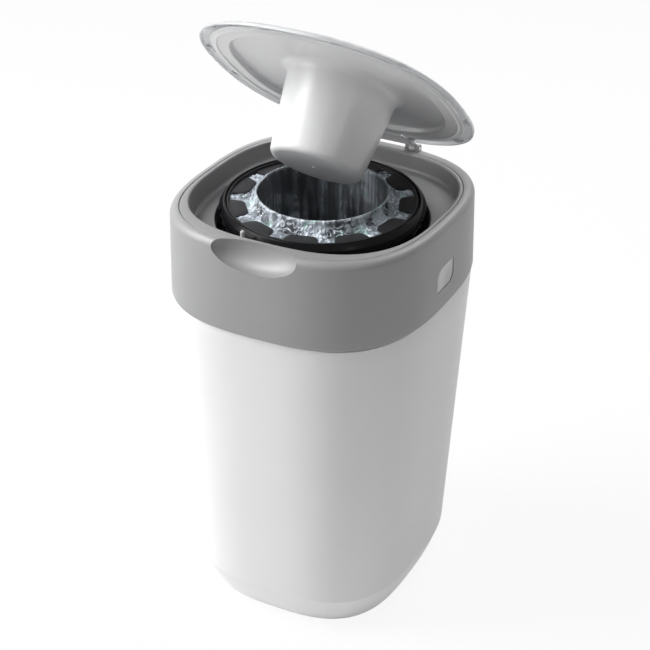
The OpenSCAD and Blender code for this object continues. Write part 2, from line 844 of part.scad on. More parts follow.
module turntable() {
    inner = drum_r - drum_wall;
    color([0.1, 0.1, 0.11]) at_well() difference() {
        union() {
            rotate_extrude() polygon([
                [crest_r - 1.5, crest_z - 0.5],
                [crest_r - 0.8, crest_z],
                [crest_r, crest_z],
                [crest_r + 1.6, crest_z - 1.4],
                [flare_r, flare_z + 0.6],
                [flare_r, flare_z],
                [drum_r, flare_z - 0.1],
                [drum_r, table_z],
                [hub_r, table_z],
                [hub_r, table_z - hub_h],
                [hub_r + hub_lip, table_z - hub_h],
                [hub_r + hub_lip, table_z - hub_h - 1],
                [hub_r - hub_wall, table_z - hub_h - 1],
                [hub_r - hub_wall, table_z + table_t],
                [inner, table_z + table_t],
                [inner, crest_z - 8],
                [crest_r - 1.5, crest_z - 6]
            ]);
            translate([0, 0, tooth_z]) linear_extrude(tooth_h) polygon([
                for (k = [0 : click_teeth - 1])
                    each [
                        [tooth_r * cos(tooth_pitch * k), tooth_r * sin(tooth_pitch * k)],
                        [drum_r * cos(tooth_pitch * (k + 0.5)), drum_r * sin(tooth_pitch * (k + 0.5))]
                    ]
            ]);
        }
        translate([0, 0, tooth_z - 1]) cylinder(r = inner, h = tooth_h + 2);
        // index notch in the flared skirt
        rotate([0, 0, -142]) block(crest_r + 2.2, flare_r + 1, -4, 4, flare_z - 1, flare_z + 3);
    }
}

module turntable_retainer() {
    top = well_z - deck_wall - gap;
    color([0.1, 0.1, 0.11]) at_well() difference() {
        tube(hub_r + 6, hub_r + hub_fit, table_z - hub_h + skin_gap, top);
        // the ring is split so that it springs over the hub
        block(0, hub_r + 10, -2, 2, table_z - hub_h - 2, top + 1);
    }
}

module cassette_tray() {
    wall = cassette_wall;
    color([0.16, 0.16, 0.17]) at_well() rotate_extrude() polygon([
        [core_r, tray_z],
        [tray_r - gap, tray_z],
        [tray_r - gap, tray_top],
        [tray_r - gap - wall, tray_top],
        [tray_r - gap - wall, tray_z + wall],
        [core_r + wall, tray_z + wall],
        [core_r + wall, core_top - 0.6],
        [core_r + wall - 0.4, core_top],
        [core_r + 0.4, core_top],
        [core_r, core_top - 0.6]
    ]);
}

// Radius of the cover's inner edge: blunt petals with gaps between them.
petal_turn = -11.3;    // angle of the first petal's middle

function petal_edge(t) =
    let (pitch = 360 / petals, k = (t - petal_turn) / pitch, u = abs(k - round(k)), half = 0.34)
    u >= half ? petal_root_r
        : petal_root_r - (petal_root_r - petal_r) * pow(1 - pow(u / half, 4), 1 / 4);

module cassette_cover() {
    steps = petals * 16;
    lip_r = tray_r - gap;
    color([0.19, 0.19, 0.2]) at_well() {
        translate([0, 0, cover_z]) linear_extrude(cover_t) difference() {
            circle(r = lip_r);
            polygon([for (i = [0 : steps - 1]) let (t = 360 * i / steps)
                [petal_edge(t) * cos(t), petal_edge(t) * sin(t)]]);
        }
        tube(lip_r, lip_r - 1.3, cover_z + cover_t - eps, crest_z - 0.5);
    }
}

module film_pack() {
    color("lightsteelblue") at_well()
        tube(tray_r - gap - cassette_wall - pack_gap, core_r + cassette_wall + pack_gap,
            tray_z + cassette_wall + skin_gap, tray_top - 5);
}

// Film over the core: up the inside of the throat, over the collar and out under the petals.
module film() {
    top = rim_z + collar_h;
    out = core_r + cassette_wall + gap;
    low = cover_z - 0.3;
    film_r = tray_r - 2 * gap - cassette_wall;
    color("aliceblue") at_well() rotate_extrude() polygon([
        [throat_r, film_low],
        [throat_r, top - 1.2],
        [throat_r + 0.6, top - 0.4],
        [core_r + 0.7, top],
        [out + 0.4, top - 1],
        [out + 1.4, top - 3.5],
        [out + 3.2, low + 3],
        [out + 5.4, low],
        [film_r, low],
        [film_r, low - film_t],
        [out + 5, low - film_t],
        [out + 2.4, low + 2],
        [out + 0.6, top - 4],
        [out - 0.2, top - 1.9],
        [core_r + 0.7, top - film_t - 0.5],
        [core_r - 0.1, top - 1.9],
        [throat_r + film_t, top - 2.4],
        [throat_r + film_t, film_low]
    ]);
}

tail_l = 26;
tail_run = 12;         // height in which the film draws in, and again to its waist
knot_r = 8;

// Film below the throat: it draws in through the fingers to a knot in the tub.
module film_tail() {
    low = film_low - skin_gap;
    neck = grip_r - 2.5;
    deep = curb_z - tail_l;
    t = film_t;
    color("aliceblue") at_well() rotate_extrude() polygon([
        [throat_r + t, low],
        [throat_r, low],
        [throat_r - 7, low - 5],
        [neck + 8, low - tail_run],
        [neck - t, curb_z - 3],
        [neck - 1.5 - t, curb_z - tail_run],
        [0, deep + 6],
        [0, deep - knot_r - 1],
        [knot_r - 3, deep - knot_r],
        [knot_r, deep - knot_r / 2],
        [knot_r - 1, deep + 1],
        [knot_r + 1, deep + 5],
        [neck - 1.5, curb_z - tail_run - 1],
        [neck, curb_z - 3],
        [neck + 8 + t, low - tail_run - t],
        [throat_r - 7 + t, low - 5 - t]
    ]);
}

// ---- Lid, in its shut place ----

function lid_at(d, z) = [lid_a - d, lid_b - d, lid_n, -lid_shift, z, 0];

// Height of the cover's outside at a distance in from its edge: a rounded edge, then a low dome.
edge_h = 2;
edge_r = 2.6;
edge_run = 6;

function crown(d) =
    let (f = min(1, d / lid_a), e = 1 - min(1, d / edge_run))
    lid_z + edge_h + edge_r * sqrt(1 - e * e)
        + (crown_h - edge_h - edge_r) * (1 - (1 - f) * (1 - f));

module lid_cover() {
    steps = [0.8, 2.5, 6, 12, 22, 34, 50, 70, 92, 112];
    wall = cover_wall;
    color("gainsboro", 0.5) opened() difference() {
        union() {
            difference() {
                loft(concat(
                    [lid_at(0.3, lid_z), lid_at(0, lid_z + 0.4), lid_at(0, lid_z + edge_h)],
                    [for (d = steps) lid_at(d, crown(d))]
                ));
                loft(concat(
                    [lid_at(wall, lid_z - 1), lid_at(wall, lid_z + edge_h)],
                    [for (d = [for (s = steps) if (s > wall) s]) lid_at(d, crown(d) - wall)]
                ));
            }
            lid_clips();
        }
        // cut-out for the hinge's flap and arms
        block(-pin_x - arm_w / 2 - gap, pin_x + arm_w / 2 + gap,
            lid_b - lid_shift - 12, lid_hinge_y, lid_z - 1, arm_low + arm_t + gap);
    }
}

// Catches moulded inside the cover's skirt that hold the liner.
module lid_clips() {
    count = 12;
    for (k = [0 : count - 1]) {
        t = 360 * (k + 0.5) / count;
        r = pow(pow(abs(cos(t)), lid_n) + pow(abs(sin(t)), lid_n), -1 / lid_n);
        p = [(lid_a - 6) * r * cos(t), (lid_b - 6) * r * sin(t) - lid_shift];
        translate([p[0], p[1], 0]) rotate([0, 0, t])
            block(-2.4, 4.8, -6, 6, lid_z + 1, lid_z + edge_h + 1.6);
    }
}

arm_w = lid_knuckle_w - 0.4;
arm_low = flange_z + liner_wall + skin_gap;
arm_t = 1.2;
arm_tongue = 19;
lid_screw_in = 15;

module lid_liner() {
    wall = liner_wall;
    root = plunger_r + 9;
    color("white") opened() difference() {
        union() {
            skin([
                lid_at(flange_in, flange_z),
                lid_at(flange_in, flange_z + wall),
                lid_at(recess_in - 1.5, flange_z + wall),
                lid_at(recess_in + wall, pan_z + wall),
                [root + 2, root + 2, 2, -axis_shift, root_z + wall - 0.2, 0],
                [root + 2, root + 2, 2, -axis_shift, root_z - 0.2, 0],
                lid_at(recess_in + 1 + wall, pan_z),
                lid_at(recess_in, flange_z)
            ]);
            at_well() rotate_extrude() polygon([
                [root + 3, root_z - 0.4],
                [plunger_r + 5, root_z - 0.6],
                [plunger_r + 1.6, root_z - 2.6],
                [plunger_r, root_z - 7],
                [plunger_tip_r, tip_z + tip_round],
                [plunger_tip_r - tip_round * 0.3, tip_z + tip_round * 0.3],
                [plunger_tip_r - tip_round, tip_z],
                [2.2, tip_z],
                [1.4, tip_z - 0.8],
                [0, tip_z - 0.8],
                [0, tip_z + wall],
                [plunger_tip_r - tip_round, tip_z + wall],
                [plunger_tip_r - wall, tip_z + tip_round],
                [plunger_r - wall, root_z - 7],
                [plunger_r + 2, root_z + wall - 0.6],
                [root + 3, root_z + wall - 0.1]
            ]);
        }
        both_sides() lid_screw_hole();
    }
}

module lid_screw_hole() {
    translate([pin_x, lid_b - lid_shift - lid_screw_in, lid_z])
        cylinder(r = screw_r + screw_fit, h = arm_low + arm_t - lid_z + 1);
}

module lid_hinge_arms() {
    x0 = pin_x - arm_w / 2;
    x1 = pin_x + arm_w / 2;
    y_edge = lid_b - lid_shift;
    y_flap = y_edge - flange_in + gap;
    color("white") opened() difference() {
        union() {
            both_sides() {
                rod(lid_knuckle_r, x0, x1, lid_hinge_y, lid_hinge_z);
                // tongue over the liner's flange, then the arm itself
                block(x0, x1, y_edge - arm_tongue, lid_hinge_y, arm_low, arm_low + arm_t);
                block(x0, x1, y_flap, lid_hinge_y, lid_z, arm_low + arm_t);
            }
            // flap between the arms; it stops short of the brackets' ears
            block(-x1, x1, y_flap, lid_hinge_y - lid_knuckle_r - 2 * gap, flange_z,
                arm_low + arm_t);
        }
        both_sides() {
            rod(lid_pin_r + pin_fit, x0 - 1, x1 + 1, lid_hinge_y, lid_hinge_z);
            lid_screw_hole();
        }
    }
}

module lid_screws() {
    color("silver") opened() both_sides()
        translate([pin_x, lid_b - lid_shift - lid_screw_in, flange_z])
            screw(liner_wall + skin_gap + arm_t);
}

tub();
head_hinge_pins();
head_shell();
head_deck();
head_hinge_bracket();
hinge_screws();
deck_screws();
gripper_ring();
click_pawl();
cutter_holder();
cutter_blade();
lid_hinge_brackets();
lid_hinge_pins();
button_spring_left();
button_spring_right();
side_button_left();
side_button_right();
turntable();
turntable_retainer();
cassette_tray();
cassette_cover();
film_pack();
film();
film_tail();
lid_cover();
lid_liner();
lid_hinge_arms();
lid_screws();
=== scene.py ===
"""Nappy bin with a twisting film cassette: visual model, studio and camera.

Every length is in metres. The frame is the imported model's own: +Z is up, -Y is the front and
the origin is on the floor under the middle of the head.
"""

import logging
import math
from dataclasses import dataclass, field
from enum import Enum
from typing import Callable, Iterable, List, Optional, Sequence, Tuple, Union

import bmesh
import bpy
from mathutils import Matrix, Vector, noise


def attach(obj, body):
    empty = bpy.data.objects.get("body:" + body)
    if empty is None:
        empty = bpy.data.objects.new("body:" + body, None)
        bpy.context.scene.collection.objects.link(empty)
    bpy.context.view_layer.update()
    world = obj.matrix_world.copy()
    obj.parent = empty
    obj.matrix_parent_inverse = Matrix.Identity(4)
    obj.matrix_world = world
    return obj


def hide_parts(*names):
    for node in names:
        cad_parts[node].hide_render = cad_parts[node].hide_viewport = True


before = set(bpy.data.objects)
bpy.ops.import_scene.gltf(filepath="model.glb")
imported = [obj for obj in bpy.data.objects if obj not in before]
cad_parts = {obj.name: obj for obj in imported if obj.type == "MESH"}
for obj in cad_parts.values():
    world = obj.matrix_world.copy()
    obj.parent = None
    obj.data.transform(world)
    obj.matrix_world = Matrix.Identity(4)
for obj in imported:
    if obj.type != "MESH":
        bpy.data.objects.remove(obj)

LOG = logging.getLogger("nappy_bin")
ROUND = 160  # corners in a plain outline
TILT = math.radians(2.3)  # fall of the rim to the back
FALL = math.tan(TILT)
SIDES = (-1.0, 1.0)  # left and right
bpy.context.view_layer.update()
Socket = bpy.types.NodeSocket
Colour = Tuple[float, float, float]
Pair = Tuple[float, float]
Triple = Tuple[float, float, float]


# ---------------------------------------------------------------- modelling helpers


class Section:
    """One closed outline that a skin passes through."""

    def point(self, t: float) -> Vector:
        """Return the outline's point at angle t.

        Args:
            t: Angle round the outline, in radians.

        Returns:
            The point, in metres.
        """
        raise NotImplementedError

    def angle(self, v: Vector) -> float:
        """Return the angle t at which the outline passes through v."""
        raise NotImplementedError


@dataclass(frozen=True)
class Oval(Section):
    """A squared oval in a level plane, or in one that slopes down to the back with the rim.

    Attributes:
        a: Half of its width.
        b: Half of its depth.
        z: Height of its plane at y = 0.
        n: Squareness, where 2 is an ellipse.
        y: Place of its centre along Y.
        slope: Share of the rim's slope that it takes.
    """

    a: float
    b: float
    z: float
    n: float = 2.0
    y: float = 0.0
    slope: float = 0.0

    def point(self, t: float) -> Vector:
        """Return the outline's point at angle t."""
        c, s = math.cos(t), math.sin(t)
        r = (abs(c) ** self.n + abs(s) ** self.n) ** (-1.0 / self.n)
        y = self.y + self.b * r * s
        return Vector((self.a * r * c, y, self.z - self.slope * y * FALL))

    def angle(self, v: Vector) -> float:
        """Return the angle t at which the outline passes through v."""
        return math.atan2((v.y - self.y) / self.b, v.x / self.a)

    def inset(self, d: float, z: float, slope: Optional[float] = None) -> "Oval":
        """Return the outline drawn in by d, at height z, with its own or another slope."""
        return Oval(self.a - d, self.b - d, z, self.n, self.y,
                    self.slope if slope is None else slope)

    def insets(self, *rows: Sequence[float]) -> List[Section]:
        """Return the outline drawn in for each row of distance, height and maybe slope."""
        return [self.inset(*row) for row in rows]


@dataclass(frozen=True)
class Polar(Section):
    """An outline given by a radius for each angle about a centre on the Y axis.

    Attributes:
        radius: Radius at an angle.
        z: Height of its plane.
        y: Place of its centre along Y.
    """

    radius: Callable[[float], float]
    z: float
    y: float = 0.0

    def point(self, t: float) -> Vector:
        """Return the outline's point at angle t."""
        r = self.radius(t)
        return Vector((r * math.cos(t), self.y + r * math.sin(t), self.z))

    def angle(self, v: Vector) -> float:
        """Return the angle t at which the outline passes through v."""
        return math.atan2(v.y - self.y, v.x)


def arc(start: float, end: float, steps: int) -> List[Pair]:
    """Return the sines and cosines along an arc, ends included.

    Args:
        start: First angle in degrees.
        end: Last angle in degrees.
        steps: Number of chords.

    Returns:
        A pair of sine and cosine for each point.
    """
    turns = [math.radians(start + (end - start) * k / steps) for k in range(steps + 1)]
    return [(math.sin(t), math.cos(t)) for t in turns]


def clamped(value: float) -> float:
    """Return value kept between 0 and 1."""
    return min(1.0, max(0.0, value))


def on_side(side: float, near: float, far: float) -> Pair:
    """Return two places along X on one side of the bin, the lower one first."""
    low, high = sorted((side * near, side * far))
    return low, high


def about_x(angle: float, y: float, z: float) -> Matrix:
    """Return the turn by an angle in radians about the line along X through y and z."""
    centre = Matrix.Translation((0.0, y, z))
    return centre @ Matrix.Rotation(angle, 4, "X") @ centre.inverted()


def deselect_all() -> None:
    """Leave edit mode and deselect every object."""
    if bpy.context.object is not None and bpy.context.object.mode != "OBJECT":
        bpy.ops.object.mode_set(mode="OBJECT")
    bpy.ops.object.select_all(action="DESELECT")


def activate(obj: bpy.types.Object) -> None:
    """Select obj alone and make it active."""
    deselect_all()
    obj.select_set(True)
    bpy.context.view_layer.objects.active = obj


def apply_modifiers(obj: bpy.types.Object) -> None:
    """Apply each of obj's modifiers in order."""
    activate(obj)
    for mod in list(obj.modifiers):
        bpy.ops.object.modifier_apply(modifier=mod.name)


def loft(name: str, sections: Sequence[Section], closed: bool = False, count: int = ROUND,
         caps: bool = True) -> bpy.types.Object:
    """Draw a skin through sections by extruding one loop of edges.

    Args:
        name: Name of the new piece.
        sections: Outlines in order. On a solid they run so that faces point outwards.
        closed: Whether the last section joins the first.
        count: Number of corners in each outline.
        caps: Whether an open skin's two ends are filled.

    Returns:
        The new object.
    """
    deselect_all()
    bpy.ops.mesh.primitive_circle_add(vertices=count, radius=1.0, fill_type="NOTHING")
    obj = bpy.context.object
    obj.name = obj.data.name = name
    bpy.ops.object.mode_set(mode="EDIT")
    bm = bmesh.from_edit_mesh(obj.data)
    for v in bm.verts:
        v.co = sections[0].point(math.atan2(v.co.y, v.co.x))
    track = list(sections[1:]) + ([sections[0]] if closed else [])
    last = sections[0]
    for section in track:
        bpy.ops.mesh.extrude_edges_move()
        bm = bmesh.from_edit_mesh(obj.data)
        for v in bm.verts:
            if v.select:
                v.co = section.point(last.angle(v.co))
        last = section
    if caps and not closed:
        bm = bmesh.from_edit_mesh(obj.data)
        bpy.ops.mesh.select_all(action="DESELECT")
        bpy.ops.mesh.select_mode(type="EDGE")
        bpy.ops.mesh.select_non_manifold()
        bpy.ops.mesh.edge_face_add()
    bpy.ops.mesh.select_mode(type="VERT")
    bpy.ops.mesh.select_all(action="SELECT")
    bpy.ops.mesh.remove_doubles(threshold=1e-6)
    bpy.ops.mesh.normals_make_consistent(inside=False)
    bpy.ops.object.mode_set(mode="OBJECT")
    return obj


def box(name: str, low: Sequence[float], high: Sequence[float],
        bevel: float = 0.0) -> bpy.types.Object:
    """Add a box between two corners, with its edges bevelled.

    Args:
        name: Name of the new piece.
        low: Lowest corner.
        high: Highest corner.
        bevel: Width of the bevel, or 0 for none.

    Returns:
        The new object.
    """
    deselect_all()
    size = [h - l for l, h in zip(low, high)]
    middle = [(h + l) / 2 for l, h in zip(low, high)]
    bpy.ops.mesh.primitive_cube_add(size=1.0, location=middle, scale=size)
    obj = bpy.context.object
    obj.name = obj.data.name = name
    bpy.ops.object.transform_apply(location=True, rotation=True, scale=True)
    if bevel:
        bpy.ops.object.mode_set(mode="EDIT")
        bpy.ops.mesh.select_all(action="SELECT")
        bpy.ops.mesh.bevel(offset=bevel, segments=3, affect="EDGES")
        bpy.ops.object.mode_set(mode="OBJECT")
    return obj


def rod(name: str, radius: float, start: Sequence[float], end: Sequence[float],
        corners: int = 48) -> bpy.types.Object:
    """Add a round bar between two points with softened ends.

    Args:
        name: Name of the new piece.
        radius: Radius of the bar.
        start: Middle of its first end.
        end: Middle of its last end.
        corners: Number of corners round it.

    Returns:
        The new object.
    """
    deselect_all()
    run = Vector(end) - Vector(start)
    bpy.ops.mesh.primitive_cylinder_add(vertices=corners, radius=radius, depth=run.length,
                                        location=(Vector(start) + Vector(end)) / 2,
                                        rotation=run.to_track_quat("Z", "Y").to_euler())
    obj = bpy.context.object
    obj.name = obj.data.name = name
    bpy.ops.object.transform_apply(location=True, rotation=True, scale=True)
    return obj


def ellipsoid(name: str, centre: Sequence[float], radii: Sequence[float]) -> bpy.types.Object:
    """Add an ellipsoid with its poles on the X axis.

    Args:
        name: Name of the new piece.
        centre: Its middle.
        radii: Half of its size along X, Y and Z.

    Returns:
        The new object.
    """
    deselect_all()
    bpy.ops.mesh.primitive_uv_sphere_add(segments=96, ring_count=64, radius=1.0,
                                         rotation=(0.0, math.pi / 2, 0.0))
    obj = bpy.context.object
    obj.name = obj.data.name = name
    bpy.ops.object.transform_apply(location=False, rotation=True, scale=False)
    obj.scale = radii
    obj.location = centre
    bpy.ops.object.transform_apply(location=True, rotation=True, scale=True)
    return obj


class Cut(Enum):
    """How one solid acts on another."""

    REMOVE = "DIFFERENCE"
    ADD = "UNION"
    KEEP = "INTERSECT"


def combine(obj: bpy.types.Object, how: Cut, *tools: bpy.types.Object) -> None:
    """Cut obj by each tool, add it or keep what both share, and delete the tool.

    Args:
        obj: The piece that changes.
        how: What the tools do.
        tools: The solids that act on it, one after another.
    """
    for tool in tools:
        activate(obj)
        mod = obj.modifiers.new("shape", "BOOLEAN")
        mod.operation = how.value
        mod.object = tool
        mod.solver = "EXACT"
        bpy.ops.object.modifier_apply(modifier=mod.name)
        bpy.data.objects.remove(tool)


def join(obj: bpy.types.Object, others: Iterable[bpy.types.Object]) -> bpy.types.Object:
    """Join other objects into obj's mesh and return it."""
    activate(obj)
    for other in others:
        other.select_set(True)
    bpy.ops.object.join()
    return obj


def mirrored(obj: bpy.types.Object) -> bpy.types.Object:
    """Return a copy of obj mirrored across X, with its own mesh and faces turned out."""
    twin = obj.copy()
    twin.data = obj.data.copy()
    bpy.context.scene.collection.objects.link(twin)
    twin.data.transform(Matrix.Scale(-1.0, 4, (1.0, 0.0, 0.0)))
    twin.data.flip_normals()
    return twin


def move_points(obj: bpy.types.Object, shift: Callable[[Vector], Vector]) -> None:
    """Move each of obj's corners by what shift returns for its place."""
    for v in obj.data.vertices:
        v.co += shift(v.co)
    obj.data.update()


# ---------------------------------------------------------------- finishes


class Graph:
    """A node tree, with short ways to add the nodes that the finishes and the studio need.

    Attributes:
        tree: The material's or the world's node tree.
    """

    def __init__(self, tree: bpy.types.NodeTree) -> None:
        """Work on a node tree."""
        self.tree = tree

    def add(self, kind: str, operation: str = "",
            **values: Union[Socket, float, Sequence[float]]) -> bpy.types.Node:
        """Add a node, and give or link its inputs.

        Args:
            kind: Name of the node's type, without the words ShaderNode.
            operation: What a math node does, or nothing for another node.
            values: A value or a socket for each input, by its name in lower case with
                underscores, or by its number after an i.

        Returns:
            The node.
        """
        made = self.tree.nodes.new("ShaderNode" + kind)
        if operation:
            made.operation = operation
        for key, value in values.items():
            by_number = key[0] == "i" and key[1:].isdigit()
            socket = made.inputs[int(key[1:]) if by_number else key.replace("_", " ").title()]
            if isinstance(value, Socket):
                self.tree.links.new(value, socket)
            else:
                socket.default_value = value
        return made

    def coords(self) -> Socket:
        """Return the Object coordinates."""
        return self.add("TexCoord").outputs["Object"]

    def noise(self, coords: Socket, scale: float, detail: float,
              distortion: float = 0.0) -> Socket:
        """Return a noise value of the given scale, detail and distortion."""
        return self.add("TexNoise", vector=coords, scale=scale, detail=detail,
                        distortion=distortion).outputs["Fac"]

    def ramp(self, source: Socket, span: Pair,
             ends: Pair) -> Socket:
        """Return a socket that maps source's span onto two end values.

        Args:
            source: The value to map.
            span: Its values at the two ends.
            ends: What they become.

        Returns:
            The mapped value's socket.
        """
        return self.add("MapRange", value=source, from_min=span[0], from_max=span[1],
                        to_min=ends[0], to_max=ends[1]).outputs["Result"]

    def math(self, operation: str, first: Socket, second: Union[Socket, float]) -> Socket:
        """Return the result of an operation on two values."""
        return self.add("Math", operation, i0=first, i1=second).outputs[0]

    def mix(self, share: Socket, first: Socket, second: Socket) -> Socket:
        """Return a mix of two values, by the second one's share."""
        return self.add("Mix", factor=share, a=first, b=second).outputs["Result"]

    def bump(self, height: Socket, shader: bpy.types.Node, strength: float,
             distance: float) -> None:
        """Add relief to a shader, over the relief that it has.

        Args:
            height: Height of the relief.
            shader: The Principled shader.
            strength: Strength of the relief.
            distance: Depth of the relief in metres.
        """
        bump = self.add("Bump", height=height, strength=strength, distance=distance)
        if shader.inputs["Normal"].is_linked:
            self.tree.links.new(shader.inputs["Normal"].links[0].from_socket,
                                bump.inputs["Normal"])
        self.tree.links.new(bump.outputs["Normal"], shader.inputs["Normal"])


@dataclass(frozen=True)
class Finish:
    """A procedural surface finish.

    Attributes:
        name: Name of the material.
        slot: Its material slot in the record; not used.
        colour: Base colour, linear.
        roughness: Roughness of the surface.
        grain: Size of the moulded grain in metres.
        relief: Strength of the grain's relief.
        tint: How far the colour varies across the piece.
        specular: Specular level.
        metal: Share of metal flake in the surface, or 1 for metal.
    """

    name: str
    slot: str
    colour: Colour
    roughness: float = 0.45
    grain: float = 0.0006
    relief: float = 0.06
    tint: float = 0.03
    specular: float = 0.5
    metal: float = 0.0

    def build(self) -> bpy.types.Material:
        """Return the material, made on first use."""
        made = bpy.data.materials.get(self.name)
        if made is not None:
            return made
        mat = bpy.data.materials.new(self.name)
        mat.use_nodes = True
        shader = mat.node_tree.nodes["Principled BSDF"]
        shader.inputs["Specular IOR Level"].default_value = self.specular
        shader.inputs["Metallic"].default_value = self.metal
        self.dress(Graph(mat.node_tree), shader)
        return mat

    def dress(self, graph: Graph, shader: bpy.types.Node) -> None:
        """Add the moulded grain, the soft colour drift and the uneven gloss.

        Args:
            graph: The material's node tree.
            shader: Its Principled shader.
        """
        link, coords = graph.tree.links.new, graph.coords()
        drift = graph.add("ValToRGB", fac=graph.noise(coords, 9.0, 2.0))
        for end, at, sign in zip(drift.color_ramp.elements, (0.3, 0.7), (-1.0, 1.0)):
            end.position = at
            end.color = (*(min(1.0, c * (1.0 + sign * self.tint)) for c in self.colour), 1.0)
        link(drift.outputs["Color"], shader.inputs["Base Color"])
        gloss = graph.ramp(graph.noise(coords, 60.0, 3.0), (0.0, 1.0),
                           (self.roughness * 0.88, min(1.0, self.roughness * 1.12)))
        link(gloss, shader.inputs["Roughness"])
        graph.bump(graph.noise(coords, 1.0 / self.grain, 2.0), shader, self.relief,
                   self.grain * 0.25)


@dataclass(frozen=True)
class ClearFinish(Finish):
    """Clear or frosted plastic.

    Attributes:
        transmission: Share of the light that passes through.
        ior: Index of refraction.
    """

    transmission: float = 0.6
    ior: float = 1.46

    def dress(self, graph: Graph, shader: bpy.types.Node) -> None:
        """Add the frost, and let light through."""
        super().dress(graph, shader)
        shader.inputs["Transmission Weight"].default_value = self.transmission
        shader.inputs["IOR"].default_value = self.ior


@dataclass(frozen=True)
class FilmFinish(Finish):
    """Thin translucent film: sheer and pleated in the throat, crumpled and whiter outside it.

    Attributes:
        sheer: Opacity where the film is thinnest.
        dense: Opacity in the folds.
        throat: Radius of the throat.
        axis: Place of the throat's axis along Y.
        glint: Colour of the painted glints, green patches mixed into the base colour.
        glints: Scale of those painted glints.
        clouds: Scale of the milky patches.
        creases: Scale of the creases.
        facets: Scale of the small flat facets.
        pleats: Scale of the throat's pleats along X, Y and Z.
    """

    sheer: float = 0.1
    dense: float = 0.95
    throat: float = 0.0583
    axis: float = -0.0038
    glint: Colour = (0.58, 0.82, 0.79)
    glints: float = 95.0
    clouds: float = 52.0
    creases: float = 80.0
    facets: float = 230.0
    pleats: Triple = (170.0, 170.0, 9.0)

    def dress(self, graph: Graph, shader: bpy.types.Node) -> None:
        """Add the creases, the glints, and the film's opacity."""
        super().dress(graph, shader)
        link, coords = graph.tree.links.new, graph.coords()
        along, radius = self.polar(graph, coords)
        outside = graph.ramp(radius, (self.throat + 0.0006, self.throat + 0.0013), (0.0, 1.0))
        crest = graph.ramp(radius, (self.throat + 0.0014, self.throat + 0.003), (1.0, 0.0))
        cloud = graph.noise(coords, self.clouds, 3.0)
        pleat = graph.noise(along, 1.0, 4.0)
        pleats = graph.math("MULTIPLY", graph.ramp(pleat, (0.42, 0.7), (0.1, 0.62)),
                            graph.ramp(cloud, (0.4, 0.58), (0.4, 1.0)))
        crease = graph.noise(coords, self.creases, 7.0, 1.5)
        cover = graph.ramp(cloud, (0.43, 0.56), (self.sheer * 1.5, 0.85))
        veil = graph.math("MULTIPLY", cover, graph.ramp(crease, (0.4, 0.58), (0.45, 1.0)))
        ridge = graph.math("ABSOLUTE", graph.math("SUBTRACT", crease, 0.5), 0.0)
        folds = graph.math("MAXIMUM", veil, graph.ramp(ridge, (0.004, 0.05), (self.dense, 0.0)))
        folds = graph.math("MAXIMUM", folds, graph.math("MULTIPLY", crest, 0.45))
        link(graph.mix(outside, pleats, folds), shader.inputs["Alpha"])
        facet = graph.add("TexVoronoi", vector=coords, scale=self.facets).outputs["Distance"]
        graph.bump(graph.mix(outside, pleat, facet), shader, 0.9, 0.0012)
        # painted glints: green patches of colour mixed into the base colour by a noise mask
        painted_glint = graph.add("Mix")
        painted_glint.data_type = "RGBA"
        link(graph.ramp(graph.noise(coords, self.glints, 2.0), (0.58, 0.66), (0.0, 1.0)),
             painted_glint.inputs["Factor"])
        link(shader.inputs["Base Color"].links[0].from_socket, painted_glint.inputs[6])
        painted_glint.inputs[7].default_value = (*self.glint, 1.0)
        link(painted_glint.outputs[2], shader.inputs["Base Color"])

    def polar(self, graph: Graph, coords: Socket) -> Tuple[Socket, Socket]:
        """Return the pleats' coordinates, and the radius about the axis.

        Args:
            graph: The material's node tree.
            coords: Its Object coordinates.

        Returns:
            The pleats' coordinates, then the radius.
        """
        shift = graph.add("VectorMath", "ADD", i0=coords, i1=(0.0, -self.axis, 0.0)).outputs[0]
        flat = graph.add("VectorMath", "MULTIPLY", i0=shift, i1=(1.0, 1.0, 0.0)).outputs[0]
        radius = graph.add("VectorMath", "LENGTH", i0=flat).outputs["Value"]
        along = graph.add("VectorMath", "MULTIPLY", i0=shift, i1=self.pleats).outputs[0]
        return along, radius


class Palette:
    """The bin's finishes."""

    tub = Finish("tub_white", "tub_plastic", (0.86, 0.86, 0.865), 0.42, 0.0007, 0.05, 0.008)
    head = Finish("head_grey", "head_plastic", (0.345, 0.345, 0.35), 0.44, 0.0007, 0.06, 0.012,
                  0.3, 0.12)
    button = Finish("button_grey", "button_plastic", (0.64, 0.64, 0.645), 0.35, 0.0006, 0.04,
                    0.01)
    black = Finish("turntable_black", "black_plastic", (0.005, 0.005, 0.006), 0.24, 0.0008,
                   0.03, 0.1, 0.08)
    cassette = Finish("cassette_black", "cassette_plastic", (0.03, 0.03, 0.032), 0.42, 0.0006,
                      0.08, 0.08, 0.15)
    liner = Finish("liner_white", "liner_plastic", (0.76, 0.76, 0.765), 0.3, 0.0009, 0.02, 0.008)
    dark = Finish("bracket_grey", "dark_plastic", (0.09, 0.09, 0.093), 0.5, 0.0006, 0.1, 0.05)
    grip = Finish("gripper_rubber", "gripper", (0.42, 0.42, 0.43), 0.6, 0.0005, 0.12, 0.03)
    steel = Finish("bright_steel", "steel", (0.62, 0.62, 0.64), 0.28, 0.0004, 0.1, 0.03,
                   metal=1.0)
    pleats = Finish("film_stack", "film", (0.6, 0.68, 0.74), 0.4, 0.0004, 0.5, 0.08)
    film = FilmFinish("film_thin", "film", (0.8, 0.87, 0.98), 0.2, 0.0012, 0.3, 0.06)
    clear = ClearFinish("cover_clear", "clear_cover", (0.8, 0.81, 0.82), 0.3, 0.0012, 0.03, 0.02)


